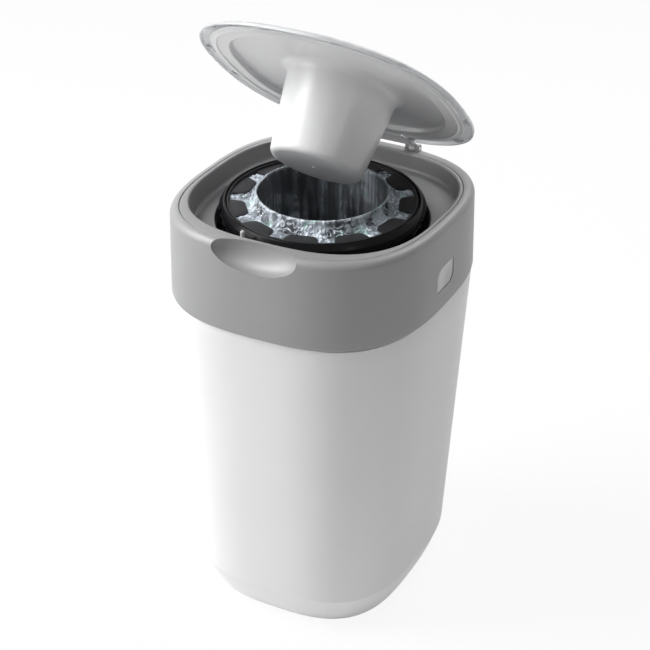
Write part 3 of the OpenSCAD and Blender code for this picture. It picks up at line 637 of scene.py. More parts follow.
def place(obj: bpy.types.Object, finish: Finish, body: str, replaces: Sequence[str],
          crease: float = 32.0) -> bpy.types.Object:
    """Finish a piece: shade it, give it its material and attach it to its body.

    Args:
        obj: The modelled piece.
        finish: Its surface finish.
        body: Name of the body it moves with.
        replaces: Nodes that it stands for.
        crease: Edges sharper than this many degrees stay sharp.

    Returns:
        The same object.
    """
    activate(obj)
    bpy.ops.object.shade_smooth_by_angle(angle=math.radians(crease))
    obj.data.materials.clear()
    obj.data.materials.append(finish.build())
    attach(obj, body)
    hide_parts(*replaces)
    LOG.info("%s: %d faces, on %s", obj.name, len(obj.data.polygons), body)
    return obj


def carried(node: str, finish: Finish, body: str, bevel: float = 0.0002,
            crease: float = 32.0) -> bpy.types.Object:
    """Dress a copy of a small node: merged, with softened edges, and shaded smooth.

    Args:
        node: Name of the node.
        finish: Its surface finish.
        body: Name of its body.
        bevel: Width of the softened edges.
        crease: Edges sharper than this many degrees stay sharp.

    Returns:
        The dressed copy.
    """
    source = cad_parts[node]
    obj = bpy.data.objects.new(node + "_dressed", source.data.copy())
    bpy.context.scene.collection.objects.link(obj)
    activate(obj)
    bpy.ops.object.mode_set(mode="EDIT")
    bpy.ops.mesh.select_all(action="SELECT")
    bpy.ops.mesh.remove_doubles(threshold=2e-6)
    bpy.ops.mesh.tris_convert_to_quads()
    bpy.ops.mesh.dissolve_limited(angle_limit=math.radians(1.0))
    bpy.ops.object.mode_set(mode="OBJECT")
    if bevel:
        mod = obj.modifiers.new("soft edges", "BEVEL")
        mod.width = bevel
        mod.segments = 2
        mod.limit_method = "ANGLE"
        mod.angle_limit = math.radians(40.0)
        mod.use_clamp_overlap = True
        apply_modifiers(obj)
    return place(obj, finish, body, [node], crease)


# ---------------------------------------------------------------- shared sizes


@dataclass(frozen=True)
class Shape:
    """Sizes that several sub-assemblies share.

    Attributes:
        rim: Height of the head's rim.
        low: Height of the head's lower edge.
        axis: Place of the well's axis along Y.
        head: Outline of the head's wall.
        draft: How far the wall leans in by the top.
        tuck: How far its lower edge is drawn in.
        rim_round: Radius of the rim's edge.
        deck: Outline of the deck's edge.
        mouth: Outline of the basin's mouth.
        basin: Height of the basin's floor.
        well_r: Radius of the well.
        well: Height of the well's floor.
        curb: Depth of the curb under the well's floor.
        flare: Depth of the turntable's flared skirt below the rim.
        scoop: Middle of the thumb scoop.
        scoop_radii: Half of the scoop's size along X, Y and Z.
        button: Place of a button's middle along Y and Z.
        lid_hinge: Place of the lid hinge's axis along Y and Z.
        slot_x: Where a slot for that hinge starts and ends on one side.
        slot_half: Half of the slot's length along Y.
        slot_depth: Depth of the slot below the rim.
        head_hinge: Place of the head hinge's axis along Y and Z.
        lid_open: Angle in radians at which the lid stands open.
    """

    rim: float = 0.4011
    low: float = 0.3212
    axis: float = -0.0038
    head: Oval = Oval(0.1245, 0.1364, 0.0, 2.8)
    draft: float = 0.0009
    tuck: float = 0.0008
    rim_round: float = 0.0072
    deck: Oval = Oval(0.1152, 0.1242, 0.0, 2.85, -0.003, 1.0)
    mouth: Oval = Oval(0.1112, 0.1154, 0.0, 2.8, 0.0018, 1.0)
    basin: float = 0.380
    well_r: float = 0.097
    well: float = 0.341
    curb: float = 0.021
    flare: float = 0.0091
    scoop: Triple = (0.0, -0.1335, 0.4015)
    scoop_radii: Triple = (0.041, 0.0158, 0.0175)
    button: Pair = (-0.0072, 0.3512)
    lid_hinge: Pair = (0.127, 0.4037)
    slot_x: Pair = (0.0215, 0.0363)
    slot_half: float = 0.0041
    slot_depth: float = 0.0073
    head_hinge: Pair = (0.133, 0.321)
    lid_open: float = math.radians(40.9)

    def ring(self, radius: float, z: float) -> Oval:
        """Return a circle about the well's axis."""
        return Oval(radius, radius, z, 2.0, self.axis)

    def rings(self, *profile: Pair) -> List[Section]:
        """Return a circle about the well's axis for each radius and height."""
        return [self.ring(radius, z) for radius, z in profile]

    def scoop_solid(self, grow: float) -> bpy.types.Object:
        """Return the thumb scoop's solid, grown on every side by grow."""
        return ellipsoid("scoop", self.scoop, [r + grow for r in self.scoop_radii])

    def hinge_slots(self) -> List[bpy.types.Object]:
        """Return the solids that cut the rim for the lid's two hinges."""
        y, half, floor = self.lid_hinge[0], self.slot_half, self.rim - self.slot_depth
        made = []
        for side in SIDES:
            x0, x1 = on_side(side, *self.slot_x)
            made.append(self.at_rim(box("slot", (x0, y - half, floor),
                                        (x1, y + half, self.rim + 0.006))))
        return made

    def at_rim(self, obj: bpy.types.Object) -> bpy.types.Object:
        """Tilt a piece that was drawn as if the rim were level."""
        obj.data.transform(about_x(-TILT, 0.0, self.rim))
        return obj

    def opened(self, obj: bpy.types.Object) -> bpy.types.Object:
        """Turn a piece of the lid from shut to where the lid stands open."""
        obj.data.transform(about_x(-self.lid_open, *self.lid_hinge))
        return self.at_rim(obj)


SHAPE = Shape()


# ---------------------------------------------------------------- tub


@dataclass
class Tub:
    """The tapering tub with its sloped foot, neck and hinge ears.

    Attributes:
        foot: Half sizes of the outline on the floor.
        waist: Half sizes at the top of the slope.
        top: Half sizes at the shoulder.
        squareness: Squareness of these outlines.
        slope: Height of the slope.
        swell: How far the slope bulges.
        foot_round: Radius of the edge on the floor.
        shoulder: Height of the shoulder under the head.
        shoulder_round: Radius of its edge.
        wall: Thickness of the wall.
        neck: Outline of the neck inside the head.
        neck_rise: Height of the neck above the shoulder.
        pocket: Radius of the round seats of the head's hinge.
        pocket_x: Where such a seat starts and ends on one side.
        ear: Radius of a hinge ear.
        ear_width: Its width.
        ears_x: Where the two ears start on one side.
        toe_x: Where the seat of a button's toe starts and ends on one side.
        toe_y: Where it starts and ends along Y.
        toe_rise: Height of its floor above the shoulder.
        gaps: Half widths of the two steps cut for the hinge's bracket, wide and narrow.
        gap_front: Front of the wide step.
        gap_depth: Depth of the narrow step below the shoulder.
    """

    foot: Pair = (0.091, 0.1017)
    waist: Pair = (0.10425, 0.1165)
    top: Pair = (0.1222, 0.1341)
    squareness: float = 3.0
    slope: float = 0.0334
    swell: float = 0.0009
    foot_round: float = 0.0016
    shoulder: float = 0.3207
    shoulder_round: float = 0.0010
    wall: float = 0.003
    neck: Oval = Oval(0.1193, 0.1312, 0.0, 2.8)
    neck_rise: float = 0.0136
    pocket: float = 0.0037
    pocket_x: Pair = (0.0276, 0.0422)
    ear: float = 0.0032
    ear_width: float = 0.0037
    ears_x: Pair = (0.0239, 0.0422)
    toe_x: Pair = (0.1133, 0.1203)
    toe_y: Pair = (-0.0172, 0.0028)
    toe_rise: float = 0.0015
    gaps: Pair = (0.0519, 0.0459)
    gap_front: float = 0.1164
    gap_depth: float = 0.0034

    def on_slope(self, f: float, inward: float, z: float) -> Oval:
        """Return the outline a share f up the slope, drawn in by inward."""
        swell = self.swell * math.sin(math.pi * f) - inward
        a, b = (lo + f * (hi - lo) + swell for lo, hi in zip(self.foot, self.waist))
        return Oval(a, b, z, self.squareness)

    def on_wall(self, z: float, inward: float) -> Oval:
        """Return the wall's outline at height z, drawn in by inward."""
        f = (z - self.slope) / (self.shoulder - self.slope)
        a, b = (lo + f * (hi - lo) - inward for lo, hi in zip(self.waist, self.top))
        return Oval(a, b, z, self.squareness)

    def sections(self) -> List[Section]:
        """Return the outlines from under the foot, up, over the neck and down inside."""
        r, bend, top = self.foot_round, self.slope * 1.1, self.shoulder
        made: List[Section] = [self.on_slope(0.0, 0.006, 0.003), self.on_slope(0.0, 0.005, 0.0)]
        made += [self.on_slope(0.0, r * (1 - s), r * (1 - c)) for s, c in arc(0.0, 90.0, 4)]
        for k in range(1, 9):
            f = 0.05 + 0.88 * k / 8
            made.append(self.on_slope(f, 0.0, self.slope * f))
        for k in range(6):
            f = 0.95 + 0.15 * k / 5
            blend = 0.00035 * math.sin(math.pi * k / 5)
            z = self.slope * f
            made.append(self.on_slope(f, 0.0, z) if f <= 1.0 else self.on_wall(z, blend * 0.3))
        rise = top - 0.0012 - bend
        made += [self.on_wall(bend + k / 22 * rise, 0.0) for k in range(1, 22)]
        r = self.shoulder_round
        made += [self.on_wall(top - r * (1 - s), r * (1 - c)) for s, c in arc(0.0, 90.0, 4)]
        w, high = self.wall, top + self.neck_rise
        made += self.neck.insets((0.0, top), (0.0, high - 0.001), (0.0008, high),
                                 (w - 0.0006, high), (w, high - 0.0006), (w, top - 0.004))
        made += [self.on_wall(top - 0.009, w), self.on_wall(bend, w),
                 self.on_slope(0.7, w, self.slope * 0.7),
                 self.on_slope(0.3, w + 0.0015, 0.008), self.on_slope(0.3, w + 0.0045, 0.0065)]
        return made

    def build(self) -> bpy.types.Object:
        """Model the tub with the seats of its hinge and of the buttons' toes."""
        obj = loft("tub_shell", self.sections())
        y, z = SHAPE.head_hinge
        back, above = 0.14, 0.4
        fronts = (self.gap_front, y - 0.0009)
        floors = (self.shoulder + 1e-5, self.shoulder - self.gap_depth)
        for half, front, floor in zip(self.gaps, fronts, floors):
            combine(obj, Cut.REMOVE, box("cut", (-half, front, floor), (half, back, above)))
        ears = []
        for side in SIDES:
            x0, x1 = on_side(side, *self.pocket_x)
            combine(obj, Cut.REMOVE, rod("cut", self.pocket, (x0, y, z), (x1, y, z)))
            x0, x1 = on_side(side, *self.toe_x)
            combine(obj, Cut.REMOVE, box("cut", (x0, self.toe_y[0], self.shoulder + self.toe_rise),
                                         (x1, self.toe_y[1], above)))
            for near in self.ears_x:
                x0, x1 = on_side(side, near, near + self.ear_width)
                ears.append(rod("ear", self.ear, (x0, y, z), (x1, y, z)))
        join(obj, ears)
        return place(obj, Palette.tub, "tub", ["tub"])


# ---------------------------------------------------------------- head


@dataclass
class Head:
    """The grey head: shell, deck and well.

    Attributes:
        wall: Thickness of the shell.
        hem: Height of the round along its lower edge.
        skirt: Height above that edge where the wall starts to lean in.
        ledge: Depth of the deck's ledge below the rim.
        deck_wall: Thickness of the deck.
        groove: Width of the open seam between shell and deck.
        lip: Radius of the round over the basin's mouth.
        hole: Radius of the hole in the well's floor.
        curb: Inside and outside radius of the curb under that floor.
        notch_x: Where the notch for the head's hinge starts and ends on one side.
        notch_y: Where it starts and ends along Y.
        notch_top: Height of its top.
        window_x: Where the solid that cuts a button's window starts and ends.
        window_gap: Width of the gap round a button.
        hook: Lowest and highest corner of the lid's hook, with the rim drawn level.
        boss: Radius of the boss that a button's spring sits on.
        boss_x: Where that boss starts and ends on one side.
    """

    wall: float = 0.0028
    hem: float = 0.0018
    skirt: float = 0.0035
    ledge: float = 0.0027
    deck_wall: float = 0.0025
    groove: float = 0.00045
    lip: float = 0.0018
    hole: float = 0.06605
    curb: Pair = (0.0765, 0.079)
    notch_x: Pair = (0.0236, 0.0462)
    notch_y: Pair = (0.1224, 0.1374)
    notch_top: float = 0.3247
    window_x: Pair = (0.1165, 0.1265)
    window_gap: float = 0.00045
    hook: Tuple[Triple, Triple] = ((-0.014, 0.1187, 0.3935), (0.014, 0.1226, 0.3957))
    boss: float = 0.0065
    boss_x: Pair = (0.0985, 0.10386)

    def outside(self) -> List[Section]:
        """Return the head's outer outlines, from its lower edge to the top of the rim."""
        oval, low, rim, r = SHAPE.head, SHAPE.low, SHAPE.rim, SHAPE.rim_round
        made: List[Section] = [oval.inset(SHAPE.tuck, low)]
        for s, c in arc(0.0, 90.0, 4):
            made.append(oval.inset(SHAPE.tuck * (1 - s), low + self.hem * (1 - c)))
        steps = 8
        for k in range(1, steps):
            f = k / steps
            z = low + self.skirt + f * (rim - r - low - self.skirt)
            made.append(oval.inset(SHAPE.draft * f, z, f))
        for s, c in arc(0.0, 90.0, 10):
            made.append(oval.inset(SHAPE.draft + r * (1 - c), rim - r * (1 - s), 1.0))
        return made

    def build_shell(self) -> bpy.types.Object:
        """Model the shell: outer wall, rim, ledge, thumb scoop and button windows."""
        rim, low, w = SHAPE.rim, SHAPE.low, self.wall
        ledge = rim - self.ledge
        under = ledge - 0.0026
        inner = w + SHAPE.draft
        sections = self.outside()
        sections += SHAPE.deck.insets((-0.0006, rim), (-0.0002, rim - 0.00025),
                                      (0.0, rim - 0.0007), (0.0, ledge))
        sections += SHAPE.mouth.insets((-0.00305, ledge), (-0.00305, under))
        sections += SHAPE.head.insets((inner + 0.0016, under, 1.0), (inner, under - 0.005, 1.0),
                                      (w, low + self.skirt), (SHAPE.tuck + w, low))
        obj = loft("head_shell_skin", sections, closed=True)
        bowl = SHAPE.scoop_solid(0.002)
        combine(bowl, Cut.KEEP, loft("solid", self.outside()))
        combine(obj, Cut.ADD, bowl)
        window = SideButtons().outline_solid(*self.window_x, self.window_gap)
        combine(obj, Cut.REMOVE, SHAPE.scoop_solid(0.0), *SHAPE.hinge_slots(), window,
                mirrored(window))
        for side in SIDES:
            x0, x1 = on_side(side, *self.notch_x)
            combine(obj, Cut.REMOVE, box("notch", (x0, self.notch_y[0], low - 0.001),
                                         (x1, self.notch_y[1], self.notch_top)))
        return place(obj, Palette.head, "head", ["head_shell"])

    def deck_sections(self) -> List[Section]:
        """Return the deck's outlines: edge, top, basin wall, floor, and back underneath."""
        deck, mouth, rim, w = SHAPE.deck, SHAPE.mouth, SHAPE.rim, self.deck_wall
        top, g, lip, low = rim - 0.0001, self.groove, self.lip, SHAPE.basin
        made = deck.insets((g, rim - 0.0026), (g, top - 0.0006), (g + 0.0003, top - 0.0001),
                           (g + 0.0008, top))
        made += [mouth.inset(-lip * (1 - s), top - lip * (1 - c)) for s, c in arc(0.0, 90.0, 6)]
        steps = 8
        for k in range(1, steps + 1):
            f = k / steps
            z = top - lip + f * (low + 0.004 - top + lip)
            made.append(mouth.inset(0.0012 * f, z, 1.0 - f))
        for s, c in arc(0.0, 90.0, 6):
            made.append(mouth.inset(0.005 - 0.0038 * c, low + 0.004 * (1 - s), 0.0))
        floor, edge, well, under = low - 0.0001, SHAPE.well_r, SHAPE.well, SHAPE.well - w
        made += SHAPE.rings((edge + 0.0022, floor))
        for s, c in arc(0.0, 90.0, 4):
            made.append(SHAPE.ring(edge + 0.0012 * (1 - s), floor - 0.0012 * (1 - c)))
        inside, outside = self.curb
        made += SHAPE.rings((edge, well), (self.hole, well), (self.hole, under), (inside, under),
                            (inside, well - SHAPE.curb), (outside, well - SHAPE.curb),
                            (outside, under), (edge + w, under), (edge + w, low - w))
        made += mouth.insets((0.005, low - w, 0.0), (0.0012 - w, low + 0.004, 0.0),
                             (-w * 1.1, rim - 0.0026))
        return made

    def build_deck(self) -> bpy.types.Object:
        """Model the deck with the basin, the floor round the turntable and the well."""
        obj = loft("deck_skin", self.deck_sections(), closed=True)
        combine(obj, Cut.REMOVE, SHAPE.scoop_solid(0.0021))
        extras = [SHAPE.at_rim(box("hook", *self.hook))]
        for side in SIDES:
            ends = [(side * x, *SHAPE.button) for x in self.boss_x]
            extras.append(rod("boss", self.boss, *ends))
        join(obj, extras)
        return place(obj, Palette.head, "head", ["head_deck"])

    def build(self) -> None:
        """Build the head's fixed pieces, and the hinge pins that stay with the tub."""
        self.build_shell()
        self.build_deck()
        for node, finish, bevel in (("head_hinge_bracket", Palette.dark, 0.0002),
                                    ("hinge_screws", Palette.steel, 0.0001),
                                    ("deck_screws", Palette.steel, 0.0001),
                                    ("gripper_ring", Palette.grip, 0.0002),
                                    ("click_pawl", Palette.button, 0.0004),
                                    ("cutter_holder", Palette.dark, 0.0002),
                                    ("cutter_blade", Palette.steel, 0.0),
                                    ("lid_hinge_brackets", Palette.head, 0.0004),
                                    ("lid_hinge_pins", Palette.steel, 0.0003)):
            carried(node, finish, "head", bevel)
        for side in ("left", "right"):
            carried(f"button_spring_{side}", Palette.steel, "head", 0.0, 50.0)
        carried("head_hinge_pins", Palette.steel, "tub")


@dataclass
class SideButtons:
    """The two release buttons, leaf-shaped in outline.

    Attributes:
        length: Length of the face.
        height: Height of the face.
        big: Radius of the two round corners.
        small: Radius of the two sharp corners.
    """

    length: float = 0.033
    height: float = 0.0216
    big: float = 0.0091
    small: float = 0.002

    def outline(self, grow: float) -> List[Pair]:
        """Return the face's outline as Y and Z, grown by grow."""
        made: List[Pair] = []
        y0, z0 = SHAPE.button
        steps = 12
        for sy, sz, r, start in ((1, 1, self.small, 0), (-1, 1, self.big, 90),
                                 (-1, -1, self.small, 180), (1, -1, self.big, 270)):
            for k in range(steps + 1):
                t = math.radians(start + 90.0 / steps * k)
                reach = r + grow
                made.append((y0 + sy * (self.length / 2 - r) + reach * math.cos(t),
                             z0 + sz * (self.height / 2 - r) + reach * math.sin(t)))
        return made

    def outline_solid(self, x0: float, x1: float, grow: float) -> bpy.types.Object:
        """Return the outline as a solid between two places along X.

        Args:
            x0: Its first end.
            x1: Its last end.
            grow: How far it is grown.

        Returns:
            The solid.
        """
        points = self.outline(grow)
        deselect_all()
        bpy.ops.mesh.primitive_circle_add(vertices=len(points), radius=1.0, fill_type="NGON")
        obj = bpy.context.object
        bpy.ops.object.mode_set(mode="EDIT")
        bm = bmesh.from_edit_mesh(obj.data)
        for v in bm.verts:
            turn = math.atan2(v.co.y, v.co.x) % (2 * math.pi)
            y, z = points[round(turn / (2 * math.pi) * len(points)) % len(points)]
            v.co = Vector((x0, y, z))
        bpy.ops.mesh.extrude_region_move(TRANSFORM_OT_translate={"value": (x1 - x0, 0.0, 0.0)})
        bpy.ops.mesh.select_all(action="SELECT")
        bpy.ops.mesh.normals_make_consistent(inside=False)
        bpy.ops.object.mode_set(mode="OBJECT")
        return obj

    def build(self) -> None:
        """Build both buttons."""
        for side in ("left", "right"):
            carried(f"side_button_{side}", Palette.button, f"button_{side}", 0.0005)


# ---------------------------------------------------------------- turntable and cassette


@dataclass
class Cassette:
    """The black turntable, the film cassette on it and the film.

    Attributes:
        crest: Radius of the turntable's crest.
        flare: Radius of its flared skirt.
        floor: Thickness of its floor.
        hub: Radius of its hub.
        tooth: Height of its click teeth.
        tooth_step: Turn from one tooth to the next, in degrees.
        petals: Number of petals on the cassette's cover.
        turn: Angle of the first petal's middle, in degrees.
        tip: Radius that the petals reach.
        root: Radius between the petals.
        film: Radius that the film reaches under the cover.
        collar: Height of the film's collar.
        collar_round: Height of the collar's rounded top.
        throat: Inside radius of the film's throat.
        spread: How far the collar widens down to the cover.
        facet: Height of the film's facets.
        fold: Height of its folds.
        fine: Height of its fine creases.
        puff: Height of the tongues between the petals.
        pleat: Depth of the pleats in the throat.
        seed: Seed of the film's facets.
    """

    crest: float = 0.0885
    flare: float = 0.0931
    floor: float = 0.0024
    hub: float = 0.066
    tooth: float = 0.0019
    tooth_step: float = 10.0
    petals: int = 11
    turn: float = -11.3
    tip: float = 0.0689
    root: float = 0.0834
    film: float = 0.0843
    collar: float = 0.4062
    collar_round: float = 0.004
    throat: float = 0.0572
    spread: float = 0.0042
    facet: float = 0.0030
    fold: float = 0.0014
    fine: float = 0.0008
    puff: float = 0.0016
    pleat: float = 0.0016
    seed: int = 1795489545

    def build_turntable(self) -> bpy.types.Object:
        """Model the turntable: crest, flared skirt, teeth, drum and hub."""
        rim, table = SHAPE.rim, SHAPE.well + 0.0001
        crest = rim - 0.0032
        flare = rim - SHAPE.flare
        drum = self.crest + 0.0018
        catch, foot = table - 0.0068, table - 0.0078
        profile = [
            (self.crest - 0.0015, crest - 0.0007), (self.crest - 0.0012, crest - 0.0002),
            (self.crest - 0.0008, crest), (self.crest, crest),
            (self.crest + 0.0007, crest - 0.0003), (self.crest + 0.0014, crest - 0.0011),
            (self.flare - 0.0004, flare + 0.0012), (self.flare, flare + 0.0005),
            (self.flare, flare), (drum, flare - 0.0001), (drum, table), (self.hub, table),
            (self.hub, catch), (self.hub + 0.0014, catch), (self.hub + 0.0014, foot),
            (self.hub - 0.0025, foot), (self.hub - 0.0025, table + self.floor),
            (drum - 0.0022, table + self.floor), (drum - 0.0022, crest - 0.008),
            (self.crest - 0.0015, crest - 0.006)]
        obj = loft("turntable_ring", SHAPE.rings(*profile), closed=True, count=216)
        teeth = loft("teeth", self.tooth_ring(drum), closed=True, count=216)
        combine(obj, Cut.REMOVE, self.index_notch())
        join(obj, [teeth])
        return place(obj, Palette.black, "turntable", ["turntable"])

    def tooth_ring(self, drum: float) -> List[Section]:
        """Return the outlines of the ring of click teeth round the drum."""
        low = SHAPE.basin + 0.0005

        def edge(t: float) -> float:
            """Return the teeth's radius at angle t."""
            turn = (math.degrees(t) / self.tooth_step) % 1.0
            return drum + self.tooth * abs(1.0 - 2.0 * turn)

        inner = drum - 0.001
        return [Polar(edge, low, SHAPE.axis), Polar(edge, low + 0.0022, SHAPE.axis),
                SHAPE.ring(inner, low + 0.0022), SHAPE.ring(inner, low)]

    def index_notch(self) -> bpy.types.Object:
        """Return the solid that cuts the index notch in the flared skirt."""
        flare = SHAPE.rim - SHAPE.flare
        cut = box("notch", (self.crest + 0.0022, -0.004, flare - 0.001),
                  (self.flare + 0.001, 0.004, flare + 0.003))
        about = Matrix.Translation((0.0, SHAPE.axis, 0.0))
        cut.data.transform(about @ Matrix.Rotation(math.radians(-142.0), 4, "Z"))
        return cut

    def from_petal(self, t: float) -> float:
        """Return how far angle t is from the nearest petal's middle, in petals."""
        turn = (math.degrees(t) - self.turn) * self.petals / 360.0
        return abs(turn - round(turn))

    def petal_edge(self, grow: float) -> Callable[[float], float]:
        """Return the cover's inner radius for each angle, drawn back by grow."""

        def edge(t: float) -> float:
            """Return the radius at angle t."""
            u = self.from_petal(t) / 0.34
            depth = (self.root - self.tip) * max(0.0, 1.0 - u ** 4) ** 0.25
            return self.root + grow - depth

        return edge

    def build_cover(self) -> bpy.types.Object:
        """Model the cassette's cover: a lip, then a plate with blunt petals."""
        low = SHAPE.rim - 0.0073
        top = low + 0.0015
        high = SHAPE.rim - 0.0037
        lip = self.crest - 0.0025
        sections = SHAPE.rings((lip, low), (lip, high - 0.0003), (lip - 0.0003, high),
                               (lip - 0.001, high), (lip - 0.0013, high - 0.0003),
                               (lip - 0.0014, top + 0.0003), (lip - 0.0017, top),
                               (self.root + 0.0007, top))
        for s, c in arc(0.0, 90.0, 3):
            sections.append(Polar(self.petal_edge(0.0005 * (1 - s)), top - 0.0005 * (1 - c),
                                  SHAPE.axis))
        sections.append(Polar(self.petal_edge(0.0), low, SHAPE.axis))
        sections += SHAPE.rings((self.root + 0.0007, low))
        obj = loft("cassette_cover_skin", sections, closed=True, count=720)
        return place(obj, Palette.cassette, "turntable", ["cassette_cover"])

    def build_film(self) -> bpy.types.Object:
        """Model the film: gathered throat, wrinkled collar, and tongues between the petals."""
        low = SHAPE.rim - 0.0076
        shoulder = self.collar - self.collar_round
        base = SHAPE.well - 0.0066
        out = self.throat + 0.0041
        foot = out + self.spread
        profile = [(self.throat + 0.0003, base + (shoulder - base) * k / 23) for k in range(24)]
        for s, c in arc(0.0, 180.0, 14):
            profile.append((self.throat + 0.0022 - 0.0019 * c, shoulder + 0.0033 * s))
        for k in range(1, 21):
            f = k / 20
            profile.append((out + self.spread * f ** 1.6, shoulder - (shoulder - low - 0.001) * f))
        for k in range(1, 33):
            f = k / 32
            profile.append((foot + (self.film - foot) * f, low + 0.001 * (1 - f)))
        obj = loft("film_skin", SHAPE.rings(*profile), caps=False, count=900)
        noise.seed_set(self.seed)
        move_points(obj, self.crumple)
        return place(obj, Palette.film, "turntable", ["film"], 180.0)

    def about_axis(self, p: Vector) -> Tuple[float, float, Vector]:
        """Return a point's radius and angle about the axis, and the way out from the axis.

        Args:
            p: The point.

        Returns:
            The radius, the angle in radians, and a level vector of length 1.
        """
        x, y = p.x, p.y - SHAPE.axis
        r = math.hypot(x, y)
        return r, math.atan2(y, x), Vector((x / r, y / r, 0.0))

    @staticmethod
    def flow(t: float, across: float, along: float) -> Vector:
        """Return a place in the noise: round a circle of a size across, at a height along."""
        return Vector((math.cos(t) * across, math.sin(t) * across, along))

    def crumple(self, p: Vector) -> Vector:
        """Return how far the film's gathers move its point p.

        Args:
            p: A point of the smooth film.

        Returns:
            The shift of that point.
        """
        r, t, out = self.about_axis(p)
        if r < self.throat + 0.001:
            depth = clamped((self.collar - self.collar_round - p.z) / 0.015)
            flow = self.flow(t, 16.0, p.z * 14.0)
            pleat = abs(noise.noise(flow)) + 0.5 * abs(noise.noise(flow * 2.1))
            return out * (0.0003 - self.pleat * pleat * (0.25 + 0.75 * depth))
        flow = self.flow(t, 9.0, r * 60.0)
        folds = 0.5 - abs(noise.noise(flow)) - 0.6 * abs(noise.noise(flow * 2.3))
        cell = self.flow(t, 19.0, (r - p.z) * 130.0)
        cell += noise.noise_vector(cell * 0.7) * 0.6
        near = noise.voronoi(cell)[0]
        facets = min(0.7, near[1] - near[0]) - 0.2
        fine = 0.35 - abs(noise.noise(Vector((p.x, p.y - SHAPE.axis, p.z)) * 420.0))
        fall = clamped((r - self.throat - 0.003) / 0.005)
        between = clamped((self.from_petal(t) - 0.355) / 0.06)
        plate = clamped((r - self.tip + 0.003) / 0.003)
        edge = clamped((self.film - r) / 0.004)
        free = 1.0 - plate * (1.0 - between)
        flat = clamped((r - self.throat - 0.0075) / 0.003)
        size = self.facet * facets + self.fine * fine + self.fold * folds
        size = size * (0.55 + 0.45 * fall) * free
        puff = self.puff * between * plate * edge * (0.6 + folds)
        lift = size * (0.35 + 0.65 * flat) + puff
        if plate > 0.0 and between < 1.0:
            lift = min(lift, 0.0001 + 0.004 * free)
        return out * (0.9 * size * (1.0 - flat) * (0.3 + 0.7 * fall)) + Vector((0.0, 0.0, lift))

    def build_tail(self) -> bpy.types.Object:
        """Model the used film below the throat, drawn in to a knot."""
        low = SHAPE.well - 0.0068
        curb = SHAPE.well - SHAPE.curb
        profile = [(self.throat + 0.0002, low), (0.0502, low - 0.005), (0.0295, low - 0.012),
                   (0.0212, curb - 0.003), (0.0196, curb - 0.012), (0.0145, curb - 0.017),
                   (0.009, curb - 0.021), (0.007, curb - 0.025), (0.008, curb - 0.030),
                   (0.005, curb - 0.034), (0.001, curb - 0.035)]
        dense: List[Pair] = []
        for (r0, z0), (r1, z1) in zip(profile, profile[1:]):
            dense += [(r0 + (r1 - r0) * k / 6, z0 + (z1 - z0) * k / 6) for k in range(6)]
        obj = loft("film_tail_skin", SHAPE.rings(*dense), caps=False, count=240)
        move_points(obj, self.twist)
        return place(obj, Palette.film, "turntable", ["film_tail"], 180.0)

    def twist(self, p: Vector) -> Vector:
        """Return how far the twisted folds of the used film move its point p."""
        r, t, out = self.about_axis(p)
        fold = math.sin(14.0 * t + p.z * 260.0) + 0.5 * math.sin(23.0 * t - p.z * 310.0)
        size = 0.0004 + 0.0006 * clamped((self.throat - r) / 0.03)
        return out * (-size * (1.0 + fold))

    def build(self) -> None:
        """Build the turntable, the cassette and the film."""
        self.build_turntable()
        self.build_cover()
        for node, finish, bevel in (("turntable_retainer", Palette.black, 0.0002),
                                    ("cassette_tray", Palette.cassette, 0.0002),
                                    ("film_pack", Palette.pleats, 0.0008)):
            carried(node, finish, "turntable", bevel)
        for piece in (self.build_film(), self.build_tail()):
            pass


# ---------------------------------------------------------------- lid


